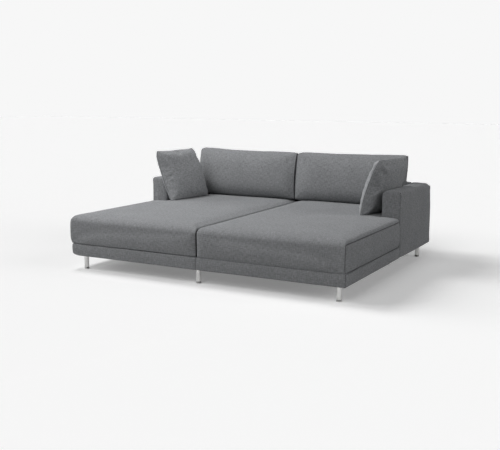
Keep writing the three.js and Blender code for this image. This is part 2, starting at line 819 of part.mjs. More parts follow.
for (const side of ['left', 'right']) {
  const sockets = side === 'right' ? bushHoles : [];
  for (const [name, [x, y]] of Object.entries(railBoxes)) {
    let rail = block(x, y, railZ).intersect(frameOutline);
    for (const [tenoned, mortised, alongX, faceAt, direction, sideAt] of railJoints) {
      if (tenoned === name) rail = join(rail, tenon(alongX, faceAt, direction, sideAt, 0));
      if (mortised === name) rail = cut(rail, tenon(alongX, faceAt, direction, sideAt, clearance));
    }
    place(name, cut(rail, ...dowelHoles('arm'), ...dowelHoles('back'), ...sockets), timber, side);
  }
  place('base_cover', baseRim, fabric, side);
  place('webbing', deck, jute, side);
  place('dust_cover', cut(dustCloth, ...sockets), darkCloth, side);
  place('arm_frame', arm.frame, timber, side);
  place('arm_pad', arm.pad, foam, side);
  place('arm_cover', arm.cover, fabric, side);
  place('back_frame', back.frame, timber, side);
  place('back_pad', back.pad, foam, side);
  place('back_cover', back.cover, fabric, side);
  place('seat_cushion_cover', seat.cover, fabric, side);
  place('seat_cushion_core', seat.core, foam, side);
  place('back_cushion_cover', backrest.cover, fabric, side);
  place('back_cushion_fill', backrest.core, fibre, side);
  const { cover, core } = pillow(side);
  place('pillow_cover', cover, fabric, side);
  place('pillow_insert', core, fibre, side);
  for (const [corner, { x, y, sides }] of Object.entries(legPlaces)) {
    if (!sides.includes(side)) continue;
    const isInner = x < moduleWidth / 2;
    const plateX = isInner
      ? [inner + plateSetback, inner + plateSetback + plateWidth]
      : [x - plateWidth / 2, x + plateWidth / 2];
    place(`leg_${corner}`, leg(x, y, plateX), steel, side);
    place(`glide_${corner}`, glide(x, y), plastic, side);
  }
}

for (const { end, y } of linkPlaces) {
  place('link_plate', linkPlate(y), steel, end);
  place('link_bush', bush(y), steel, end);
}

export default sofa;
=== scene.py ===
import json
import math

import bmesh
import bpy
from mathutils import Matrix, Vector, noise
from mathutils.bvhtree import BVHTree

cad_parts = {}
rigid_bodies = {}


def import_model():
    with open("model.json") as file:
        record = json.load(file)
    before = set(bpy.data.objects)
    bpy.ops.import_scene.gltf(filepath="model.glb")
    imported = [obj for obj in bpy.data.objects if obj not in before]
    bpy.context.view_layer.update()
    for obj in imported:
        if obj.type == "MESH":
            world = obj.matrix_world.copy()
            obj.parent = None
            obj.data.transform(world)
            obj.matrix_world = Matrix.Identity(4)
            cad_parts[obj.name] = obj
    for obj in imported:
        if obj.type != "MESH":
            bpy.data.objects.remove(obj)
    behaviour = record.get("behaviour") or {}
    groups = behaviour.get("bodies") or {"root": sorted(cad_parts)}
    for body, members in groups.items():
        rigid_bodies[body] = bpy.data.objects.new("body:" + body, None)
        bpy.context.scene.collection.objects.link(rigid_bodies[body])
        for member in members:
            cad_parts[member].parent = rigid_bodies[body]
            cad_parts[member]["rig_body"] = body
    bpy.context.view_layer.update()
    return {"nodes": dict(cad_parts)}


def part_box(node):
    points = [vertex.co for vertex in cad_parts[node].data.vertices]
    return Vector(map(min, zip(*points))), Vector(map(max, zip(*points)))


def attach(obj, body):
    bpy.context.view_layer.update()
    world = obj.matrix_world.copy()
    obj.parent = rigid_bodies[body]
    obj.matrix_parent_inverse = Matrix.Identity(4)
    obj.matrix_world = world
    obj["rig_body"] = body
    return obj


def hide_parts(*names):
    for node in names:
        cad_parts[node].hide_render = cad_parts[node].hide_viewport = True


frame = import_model()
nodes = frame["nodes"]
SIDES = {"left": -1, "right": 1}


# The base frames, arm frames and back frames. Rails of planed pine with stub tenons, and ladders of
# pine glued up for the arms and backs. They are left bare, because the covers hide them.
class Pattern:
    """A value of a material's pattern. Arithmetic on it adds the Math nodes."""

    def __init__(self, tree, socket=None):
        self.tree = tree
        self.socket = socket

    def node(self, kind, settings, sockets, output=0):
        made = self.tree.nodes.new("ShaderNode" + kind)
        for name, value in settings.items():
            setattr(made, name, value)
        for name, value in sockets.items():
            if isinstance(value, Pattern):
                self.tree.links.new(value.socket, made.inputs[name])
            else:
                made.inputs[name].default_value = value
        return Pattern(self.tree, made.outputs[output])

    def maths(self, operation, first, second):
        return self.node("Math", {"operation": operation}, {0: first, 1: second})

    def __add__(self, other):
        return self.maths("ADD", self, other)

    def __radd__(self, other):
        return self.maths("ADD", other, self)

    def __sub__(self, other):
        return self.maths("SUBTRACT", self, other)

    def __rsub__(self, other):
        return self.maths("SUBTRACT", other, self)

    def __mul__(self, other):
        return self.maths("MULTIPLY", self, other)

    def __rmul__(self, other):
        return self.maths("MULTIPLY", other, self)

    def __pow__(self, other):
        return self.maths("POWER", self, other)

    def wave(self):
        return self.node("Math", {"operation": "SINE"}, {0: self})

    def between(self, low, high):
        """This value's way from low to high, kept from 0 to 1."""
        return self.node("MapRange", {"clamp": True}, {"Value": self, "From Min": low, "From Max": high})

    def colours(self, low, high):
        """The colour that this value picks between two colours."""
        return self.node("Mix", {"data_type": "RGBA"}, {0: self, 6: low, 7: high}, 2)

    def stretched(self, scale):
        """These coordinates with each axis scaled by its own amount."""
        return self.node("VectorMath", {"operation": "MULTIPLY"}, {0: self, 1: scale})

    def noise(self, scale, detail=2.0):
        """Soft random values round 0.5 at these coordinates, with features 1 / scale across."""
        return self.node("TexNoise", {}, {"Vector": self.stretched(scale), "Scale": 1.0, "Detail": detail})

    def axes(self):
        """The first and the second of these coordinates."""
        parts = self.node("SeparateXYZ", {}, {0: self})
        return parts, Pattern(self.tree, parts.socket.node.outputs[1])

    def crossed(self, fineness):
        """Fine waves both ways across these coordinates, as threads cross in cloth."""
        along, across = self.axes()
        return (along * fineness).wave() * (across * fineness).wave()

    def bump(self, strength, distance):
        return self.node("Bump", {}, {"Height": self, "Strength": strength, "Distance": distance})

    def feeds(self, socket):
        """Links this value to a socket of the material's own shader."""
        self.tree.links.new(self.socket, self.tree.nodes["Principled BSDF"].inputs[socket])


def material_with(name, sockets):
    """A new material, and the start of its pattern. The numbers go on the shader's own sockets."""
    material = bpy.data.materials.new(name)
    material.use_nodes = True
    for socket, value in sockets.items():
        material.node_tree.nodes["Principled BSDF"].inputs[socket].default_value = value
    return material, Pattern(material.node_tree)


def pine(name, along):
    """Planed pine whose grain runs along one axis: pale early wood and darker rings."""
    material, start = material_with(name, {"Specular IOR Level": 0.3})
    place = start.node("TexCoord", {}, {}, 3)
    grain = place.noise([6.0 if axis == along else 90.0 for axis in range(3)], 4.0)
    fibre = place.noise([25.0 if axis == along else 900.0 for axis in range(3)])
    rings = (grain * 14.0).wave() * 0.5 + 0.5
    tone = rings * 0.55 + fibre * 0.45
    tone.colours((0.62, 0.42, 0.235, 1), (0.42, 0.245, 0.115, 1)).feeds("Base Color")
    (0.58 + fibre * 0.2).feeds("Roughness")
    tone.bump(0.3, 0.0004).feeds("Normal")
    return material


pine_across = pine("pine_across", 0)
pine_deep = pine("pine_deep", 1)
for side in SIDES:
    for rail in ("front_rail", "cross_rail", "back_rail", "back_frame"):
        nodes[f"{rail}_{side}"].material_slots[0].material = pine_across
    for rail in ("inner_rail", "outer_rail", "arm_side_rail", "arm_frame"):
        nodes[f"{rail}_{side}"].material_slots[0].material = pine_deep


# The legs. Each is a straight steel tube welded to a square plate, which four screws hold under the
# rails, and its lower end takes a moulded glide with a dark neck and a slightly wider grey foot.
MERGE = 1e-6
LEG_RADIUS = 0.0185
LEG_WALL = 0.002
LEG_TURNS = 48
LEG_CHAMFER = 0.0006
WELD = 0.004
WELD_HOLLOW_SHARE = 0.3
SHARP_FROM = 40
PLATE_THICKNESS = 0.004
PLATE_CORNER = 0.008
PLATE_CHAMFER = 0.0006
SCREW_RADIUS = 0.0052
SCREW_SETBACK = 0.014
SCREW_TURNS = 16
SCREW_DOME = ((0.0, 0.0024), (0.55, 0.0022), (0.9, 0.0014), (1.0, 0.0))
GLIDE_RADIUS = 0.0205
GLIDE_GAP = 0.0003
GLIDE_TIP = 0.001
FOOT_HEIGHT = 0.008
FOOT_EDGE = ((0.0016, 0.0), (0.0004, 0.0006), (0.0, 0.0018))
FOOT_SHOULDER = ((0.0, 0.0014), (0.0006, 0.0003), (0.0014, 0.0))
NECK_HEIGHT = 0.004
NECK_RADIUS = 0.0165
COLLAR_HEIGHT = 0.0019


def brushed(name, colour, roughness, across):
    """Metal with fine lines at right angles to one axis, and a soft cloudiness in its polish."""
    material, start = material_with(name, {"Metallic": 1.0})
    place = start.node("TexCoord", {}, {}, 3)
    lines = place.noise([2600.0 if axis == across else 60.0 for axis in range(3)])
    cloud = place.noise((22.0, 22.0, 22.0), 3.0)
    dull = [part * 0.86 for part in colour]
    cloud.between(0.3, 0.7).colours((*dull, 1), (*colour, 1)).feeds("Base Color")
    (roughness + (lines - 0.5) * 0.22 + (cloud - 0.5) * 0.12).feeds("Roughness")
    lines.bump(0.12, 0.0001).feeds("Normal")
    return material


def moulded(name, colour):
    """Plastic with the fine grain of its mould."""
    material, start = material_with(name, {"Specular IOR Level": 0.45})
    place = start.node("TexCoord", {}, {}, 3)
    grain = place.noise((900.0, 900.0, 900.0))
    worn = [part * 1.25 for part in colour]
    grain.between(0.3, 0.7).colours((*colour, 1), (*worn, 1)).feeds("Base Color")
    (0.42 + grain * 0.16).feeds("Roughness")
    grain.bump(0.1, 0.0001).feeds("Normal")
    return material


leg_steel = brushed("leg_steel", (0.73, 0.73, 0.72), 0.36, 2)
screw_steel = brushed("screw_steel", (0.48, 0.48, 0.49), 0.3, 0)
foot_plastic = moulded("foot_plastic", (0.56, 0.56, 0.55))
neck_plastic = moulded("neck_plastic", (0.24, 0.24, 0.24))


def lathe(mesh, profile, centre, turns, kind):
    """Spins radius and height pairs about an upright axis, with the faces in one material."""
    before = set(mesh.faces)
    points = [mesh.verts.new((centre[0] + radius, centre[1], height)) for radius, height in profile]
    chain = [mesh.edges.new(pair) for pair in zip(points, points[1:])]
    bmesh.ops.spin(
        mesh,
        geom=points + chain,
        cent=(centre[0], centre[1], 0),
        axis=(0, 0, 1),
        angle=2 * math.pi,
        steps=turns,
        use_merge=True,
    )
    made = [face for face in mesh.faces if face not in before]
    for face in made:
        face.material_index = kind
    around = list({vertex for face in made for vertex in face.verts})
    bmesh.ops.remove_doubles(mesh, verts=around, dist=MERGE)
    made = [face for face in mesh.faces if face not in before]
    bmesh.ops.recalc_face_normals(mesh, faces=made)
    return made


def piece_from(mesh, name, materials, smooth=True):
    """A finished mesh as an object at the origin."""
    for face in mesh.faces:
        face.smooth = smooth
    data = bpy.data.meshes.new(name)
    mesh.to_mesh(data)
    mesh.free()
    for material in materials:
        data.materials.append(material)
    piece = bpy.data.objects.new(name, data)
    bpy.context.scene.collection.objects.link(piece)
    return piece


def rise_of(edge):
    """How much higher one end of an edge is than the other."""
    return abs(edge.verts[0].co.z - edge.verts[1].co.z)


def cube(mesh, centre, size):
    """A box, and all its edges."""
    made = bmesh.ops.create_cube(mesh, size=1.0)["verts"]
    bmesh.ops.scale(mesh, verts=made, vec=size)
    bmesh.ops.translate(mesh, verts=made, vec=centre)
    return list({edge for vertex in made for edge in vertex.link_edges})


def bevel(mesh, edges, width, segments):
    """Rounds off edges, and gives what the rounding made."""
    return bmesh.ops.bevel(
        mesh, geom=edges, offset=width, segments=segments, profile=0.5, affect="EDGES", material=-1
    )


def plate(mesh, low, high, kind):
    """A flat plate with rounded corners and a fine chamfer."""
    before = set(mesh.faces)
    edges = cube(mesh, (low + high) / 2, high - low)
    bevel(mesh, [edge for edge in edges if rise_of(edge) > PLATE_THICKNESS / 2], PLATE_CORNER, 5)
    faces = [face for face in mesh.faces if face not in before]
    rim = {edge for face in faces for edge in face.edges if rise_of(edge) < MERGE}
    bevel(mesh, list(rim), PLATE_CHAMFER, 2)
    for face in mesh.faces:
        if face not in before:
            face.material_index = kind


for name in [name for name in nodes if name.startswith("leg_")]:
    low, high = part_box(name)
    glide_name = name.replace("leg", "glide")
    glide_low, glide_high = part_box(glide_name)
    centre = (glide_low + glide_high) / 2
    middle = (low + high) / 2
    plate_low = high.z - PLATE_THICKNESS
    foot = low.z
    bore = LEG_RADIUS - LEG_WALL
    body = frame["nodes"][name]["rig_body"]

    tube = bmesh.new()
    outline = [
        (bore, plate_low),
        (bore, foot + LEG_CHAMFER * 2 / 3),
        (bore + LEG_CHAMFER, foot),
        (LEG_RADIUS - LEG_CHAMFER, foot),
        (LEG_RADIUS, foot + LEG_CHAMFER * 4 / 3),
        (LEG_RADIUS, plate_low - WELD),
        (LEG_RADIUS + WELD * WELD_HOLLOW_SHARE, plate_low - WELD * WELD_HOLLOW_SHARE),
        (LEG_RADIUS + WELD, plate_low),
        (bore, plate_low),
    ]
    lathe(tube, outline, centre, LEG_TURNS, 0)
    plate(tube, Vector((low.x, low.y, plate_low)), high, 0)
    reach = (high.x - low.x) / 2 - SCREW_SETBACK
    dome = [(SCREW_RADIUS * share, plate_low - height) for share, height in SCREW_DOME]
    for across in (-reach, reach):
        for deep in (-reach, reach):
            lathe(tube, dome, (middle.x + across, middle.y + deep), SCREW_TURNS, 1)
    leg = piece_from(tube, f"{name}_tube", [leg_steel, screw_steel])
    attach(leg, body)
    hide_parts(name)

    cap = bmesh.new()
    outline = [(GLIDE_RADIUS - inset, height) for inset, height in FOOT_EDGE]
    outline += [(GLIDE_RADIUS - inset, FOOT_HEIGHT - drop) for inset, drop in FOOT_SHOULDER]
    lathe(cap, [(0, 0), *outline, (NECK_RADIUS, FOOT_HEIGHT)], centre, LEG_TURNS, 0)
    neck = FOOT_HEIGHT + NECK_HEIGHT
    outline = [
        (NECK_RADIUS, FOOT_HEIGHT),
        (NECK_RADIUS, neck),
        (LEG_RADIUS, neck),
        (LEG_RADIUS, neck + COLLAR_HEIGHT),
        (bore - GLIDE_GAP, neck + COLLAR_HEIGHT),
        (bore - GLIDE_GAP, glide_high.z - GLIDE_TIP),
        (0, glide_high.z),
    ]
    lathe(cap, outline, centre, LEG_TURNS, 1)
    glide = piece_from(cap, f"{glide_name}_cap", [foot_plastic, neck_plastic])
    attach(glide, body)
    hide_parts(glide_name)
    for round_piece in (leg, glide):
        sharp = round_piece.modifiers.new("sharp", "EDGE_SPLIT")
        sharp.split_angle = math.radians(SHARP_FROM)


# The links between the modules. Two zinc plated plates are screwed under the left-hand inner rail, and
# the pin on each stands in a steel bush in the right-hand inner rail.
zinc = brushed("zinc", (0.5, 0.5, 0.52), 0.42, 1)
for end in ("front", "rear"):
    nodes[f"link_plate_{end}"].material_slots[0].material = zinc
    nodes[f"link_bush_{end}"].material_slots[0].material = zinc


# The webbing deck. Elastic jute straps are woven over and under each other and stapled to the rails.
STRAP_WIDTH = 0.096
STRAP_PITCH = 0.236
STRAP_THICKNESS = 0.0009
STRAP_STEP = 0.0295
STRAP_INSET = 0.0195
STRAP_RISE_SHARE = 0.56


def jute():
    """Brown webbing with a dark stripe near each edge, and coarse threads both ways."""
    material, start = material_with("jute", {"Roughness": 0.92, "Specular IOR Level": 0.15})
    cloth = start.node("UVMap", {"uv_map": "cloth"}, {})
    across = cloth.axes()[1]
    threads = cloth.crossed(2400.0)
    stripe = (across * (4 * math.pi / STRAP_WIDTH)).wave().between(0.82, 0.9)
    wear = cloth.noise((60.0, 300.0, 1.0), 3.0)
    ground = wear.between(0.3, 0.7).colours((0.19, 0.135, 0.082, 1), (0.3, 0.22, 0.14, 1))
    stripe.colours(ground, (0.05, 0.045, 0.04, 1)).feeds("Base Color")
    threads.bump(0.5, 0.0003).feeds("Normal")
    return material


webbing_jute = jute()


def cuts_between(low, high, step):
    """Even places strictly between two ends, about a step apart."""
    count = max(1, round((high - low) / step))
    return [low + (high - low) * k / count for k in range(1, count)]


def bisect(mesh, axis, places):
    """Cuts the whole mesh by planes square to an axis."""
    normal = Vector([1.0 if k == axis else 0.0 for k in range(3)])
    for place in places:
        geometry = mesh.verts[:] + mesh.edges[:] + mesh.faces[:]
        bmesh.ops.bisect_plane(
            mesh, geom=geometry, dist=MERGE, plane_co=normal * place, plane_no=normal
        )


def rectangle(mesh, low, high, height):
    """One level face between two corners."""
    spots = ((low[0], low[1]), (high[0], low[1]), (high[0], high[1]), (low[0], high[1]))
    mesh.faces.new([mesh.verts.new((x, y, height)) for x, y in spots])


def mirrored(mesh):
    """Turns a right-hand mesh into a left-hand one."""
    bmesh.ops.scale(mesh, verts=mesh.verts[:], vec=(-1, 1, 1))
    bmesh.ops.reverse_faces(mesh, faces=mesh.faces[:])


inner_low, inner_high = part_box("inner_rail_right")
outer_low, outer_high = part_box("outer_rail_right")
cross_low, cross_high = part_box("cross_rail_right")
side_low, side_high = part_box("arm_side_rail_right")
back_low, back_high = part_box("back_rail_right")
front_low, front_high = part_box("front_rail_right")
deck_low, deck_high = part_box("webbing_right")
deck_low += Vector((STRAP_INSET, STRAP_INSET, 0.0))
deck_high -= Vector((STRAP_INSET, STRAP_INSET, 0.0))


def strap_rows(start, end):
    """The low and high edge of each strap between two rails."""
    rows = []
    place = start
    while place - STRAP_WIDTH / 2 < end:
        rows.append((place - STRAP_WIDTH / 2, place + STRAP_WIDTH / 2))
        place += STRAP_PITCH
    return rows


strap_x = strap_rows(inner_high.x, outer_low.x)
strap_y = strap_rows(front_high.y, back_low.y)
for side, sign in SIDES.items():
    deck = bmesh.new()
    cloth = deck.loops.layers.uv.new("cloth")
    middle = (deck_low.z + deck_high.z) / 2
    for long_axis, rows in ((1, strap_x), (0, strap_y)):
        for row, (start, end) in enumerate(rows):
            if long_axis == 1:
                start, end = max(start, deck_low.x), min(end, deck_high.x)
                far = cross_high.y - STRAP_INSET if end > side_low.x else deck_high.y
                low, high = (start, deck_low.y), (end, far)
            else:
                start, end = max(start, deck_low.y), min(end, deck_high.y)
                far = side_high.x - STRAP_INSET if end > cross_low.y else deck_high.x
                low, high = (deck_low.x, start), (far, end)
            strap = bmesh.new()
            uv = strap.loops.layers.uv.new("cloth")
            rectangle(strap, low, high, middle)
            bisect(strap, long_axis, cuts_between(low[long_axis], high[long_axis], STRAP_STEP))
            first = inner_high.x if long_axis == 0 else front_high.y
            for face in strap.faces:
                for loop in face.loops:
                    along, across = loop.vert.co[long_axis], loop.vert.co[1 - long_axis]
                    loop[uv].uv = (along, across - start)
            for vertex in strap.verts:
                crossing = (vertex.co[long_axis] - first) / STRAP_PITCH + row + long_axis
                vertex.co.z += STRAP_THICKNESS * STRAP_RISE_SHARE * math.cos(math.pi * crossing)
            bmesh.ops.solidify(strap, geom=strap.faces[:], thickness=STRAP_THICKNESS)
            bmesh.ops.translate(strap, verts=strap.verts[:], vec=(0, 0, STRAP_THICKNESS / 2))
            data = bpy.data.meshes.new("strap")
            strap.to_mesh(data)
            deck.from_mesh(data)
            strap.free()
            bpy.data.meshes.remove(data)
    bmesh.ops.recalc_face_normals(deck, faces=deck.faces[:])
    if sign < 0:
        mirrored(deck)
    straps = piece_from(deck, f"straps_{side}", [webbing_jute])
    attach(straps, f"{side}_module")
    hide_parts(f"webbing_{side}")


# The base cover. A strip of the sofa's cloth over thin padding goes round the rails, is sewn at the
# front corner, rolls under the frame and is stapled there.
SEAM_SPOT = 0.0062
SEAM_DEPTH = 0.0045


def woven(name, dark, light, mark):
    """Heathered upholstery cloth: fine threads both ways, streaks of paler yarn, and painted shade along
    its seams.
    """
    sockets = {
        "Roughness": 0.93,
        "Specular IOR Level": 0.18,
        "Sheen Weight": 0.12,
        "Sheen Roughness": 0.55,
        "Sheen Tint": (0.85, 0.86, 0.9, 1.0),
    }
    material, start = material_with(name, sockets)
    cloth = start.node("UVMap", {"uv_map": "cloth"}, {})
    threads = cloth.crossed(3000.0)
    weft = cloth.noise((40.0, 420.0, 1.0))
    warp = cloth.noise((420.0, 40.0, 1.0))
    slub = cloth.noise((30.0, 170.0, 1.0), 3.0) + cloth.noise((150.0, 36.0, 1.0), 3.0)
    broad = cloth.noise((5.0, 5.0, 1.0), 3.0)
    tone = 0.5 + (weft - 0.5) * 0.8 + (warp - 0.5) * 0.6 + (slub - 1.0) * mark + (broad - 0.5) * 0.3
    ground = (tone + threads * 0.06).colours((*dark, 1), (*light, 1))
    # Painted shade: the seam mark darkens the cloth almost to black in each sewn groove, where its shadow
    # falls.
    seam_shade = start.node("Attribute", {"attribute_name": "seam_shade"}, {}, 2)
    (seam_shade * 0.95).colours(ground, (0.02, 0.02, 0.022, 1)).feeds("Base Color")
    (threads * 0.6 + weft + warp).bump(0.45, 0.0005).feeds("Normal")
    return material


upholstery = woven("upholstery", (0.132, 0.136, 0.141), (0.292, 0.298, 0.306), 1.2)


def crate(rectangles, heights, cuts, unroll):
    """A closed box over rectangles that share edges, cut into a grid, with its cloth laid flat.

    unroll is the axis that the cloth's wrap runs straight along. The ends square to it are panels
    of their own, and the wrap comes one row of faces round their edges.
    """
    mesh = bmesh.new()
    for low, high in rectangles:
        rectangle(mesh, low, high, heights[0])
    bmesh.ops.remove_doubles(mesh, verts=mesh.verts[:], dist=MERGE)
    raised = bmesh.ops.extrude_face_region(mesh, geom=mesh.faces[:])["geom"]
    top = [part for part in raised if isinstance(part, bmesh.types.BMVert)]
    bmesh.ops.translate(mesh, verts=top, vec=(0, 0, heights[1] - heights[0]))
    bmesh.ops.recalc_face_normals(mesh, faces=mesh.faces[:])
    for axis, places in enumerate(cuts):
        bisect(mesh, axis, places)
    mesh.normal_update()
    # This layer marks where painted shade goes along the seams; sew fills it.
    mesh.verts.layers.float.new("seam_shade")
    panel = mesh.faces.layers.int.new("panel")
    cloth = mesh.loops.layers.uv.new("cloth")
    around = 1 - unroll
    for face in mesh.faces:
        end = round(face.normal[unroll])
        turn = round(face.normal[around])
        face[panel] = end % 3
        for loop in face.loops:
            point = loop.vert.co
            if end:
                loop[cloth].uv = (point[around] + end, point.z)
            elif turn:
                drop = heights[1] - point.z
                loop[cloth].uv = (point[unroll], point[around] + turn * drop)
            else:
                loop[cloth].uv = (point[unroll], point[around])
    beside_wrap = [
        face
        for face in mesh.faces
        if face[panel] and any(near[panel] == 0 for vertex in face.verts for near in vertex.link_faces)
    ]
    for face in beside_wrap:
        face[panel] = 0
    return mesh


def round_off(first, second, radius):
    """Moves a point of a square corner onto its round. Both distances are inwards from a side."""
    across, down = 1 - first / radius, 1 - second / radius
    reach = max(across, down)
    if reach <= 0:
        return first, second
    turn = math.pi / 4 * min(across, down) / reach
    near, far = reach * math.cos(turn), reach * math.sin(turn)
    across, down = (near, far) if across >= down else (far, near)
    return radius * (1 - across), radius * (1 - down)


def soften(mesh, limits, axis, corner_radius, end_radius):
    """Rounds a crate's profile across an axis, and then the edges of both ends.

    limits gives the low and high corner of the part of the crate that a point lies in, and
    corner_radius the radius of the profile's corner on two of its sides at that point.
    """
    first, second = [k for k in range(3) if k != axis]
    for vertex in mesh.verts:
        point = vertex.co.copy()
        low, high = limits(point)
        signs = [1 if 2 * point[k] > low[k] + high[k] else -1 for k in range(3)]
        inwards = [max(0.0, signs[k] * ((high if signs[k] > 0 else low)[k] - point[k])) for k in range(3)]
        radius = corner_radius(signs[first], signs[second], point)
        moved = list(inwards)
        if inwards[first] < radius and inwards[second] < radius:
            moved[first], moved[second] = round_off(inwards[first], inwards[second], radius)
            out = Vector((radius - moved[first], radius - moved[second]))
            depth = radius - out.length
            out = out.normalized() if out.length > MERGE else Vector((0, 0))
        elif inwards[first] < inwards[second]:
            depth, out = inwards[first], Vector((1, 0))
        else:
            depth, out = inwards[second], Vector((0, 1))
        if inwards[axis] < end_radius and depth < end_radius:
            moved[axis], shallower = round_off(inwards[axis], depth, end_radius)
            moved[first] += out.x * (shallower - depth)
            moved[second] += out.y * (shallower - depth)
        for k in range(3):
            vertex.co[k] += signs[k] * (inwards[k] - moved[k])


def sew(mesh, width, depth, shown=lambda edge: True):
    """Turns the edges between panels that show into a groove, and marks it for painted seam shade."""
    panel = mesh.faces.layers.int["panel"]
    seam_shade = mesh.verts.layers.float["seam_shade"]
    joins = [
        edge
        for edge in mesh.edges
        if len({face[panel] for face in edge.link_faces}) > 1 and shown(edge)
    ]
    made = bevel(mesh, joins, width, 2)
    mesh.normal_update()
    new_faces = set(made["faces"])
    groove = [vertex for vertex in made["verts"] if new_faces.issuperset(vertex.link_faces)]
    # The groove's points get the mark for painted seam shade.
    for vertex in groove:
        vertex[seam_shade] = 1.0
        vertex.co -= vertex.normal * depth


def ripple(mesh, height, scale, offset):
    """Moves every point along its normal by soft random amounts."""
    mesh.normal_update()
    moves = []
    for vertex in mesh.verts:
        spot = Vector([vertex.co[k] * scale[k] for k in range(3)]) + offset
        moves.append(vertex.normal * (height * noise.noise(spot)))
    for vertex, move in zip(mesh.verts, moves):
        vertex.co += move


def rounded_piece(mesh, name, material):
    """A soft mesh as a piece with one level of subdivision."""
    piece = piece_from(mesh, name, [material])
    smoother = piece.modifiers.new("smoother", "SUBSURF")
    smoother.levels = smoother.render_levels = 1
    return piece


def kept(share):
    """A share, kept from 0 to 1."""
    return min(1.0, max(0.0, share))


def fade(distance, reach):
    """1 at no distance, falling evenly to 0 at the reach."""
    return max(0.0, 1 - distance / reach)


def crown(share):
    """How far a padded face has risen, from 0 at its edge to 1 in its middle."""
    return 1 - (1 - kept(share)) ** 3


def trimmed(low, high, edge, step):
    """Places for cuts from low to high: one beside each end, and even ones between them."""
    return [low + edge, high - edge] + cuts_between(low + edge, high - edge, step)


base_low, base_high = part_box("base_cover_right")
arm_low, arm_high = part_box("arm_cover_right")
rear_low, rear_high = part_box("back_cover_right")
BASE_ROUND = 0.009
BASE_CORNER = 0.012
BASE_LAP = 0.022
BASE_TOP_ROUND = 0.005
BASE_SAG = 0.012
BASE_SAG_HEIGHT = 0.02
BASE_WIDEN = 0.005
BASE_WIDEN_REACH = 0.1
BASE_CORNER_LIFT = 0.016
BASE_LIFT_REACH = 0.06
BASE_PAD = 0.003
BASE_SEAM_SHARE = 0.6
BASE_RIPPLE = 0.0014
BASE_RIPPLE_SCALE = (5.0, 5.0, 30.0)
BASE_CLOTH = 0.0018
BASE_CELL = 0.03
BASE_CELL_UP = 0.011
BASE_EDGE_CUTS = (0.004, 0.008, 0.015)
BASE_RIM_CUTS = (0.003, 0.006)
TOUCH_GAP = 0.0003

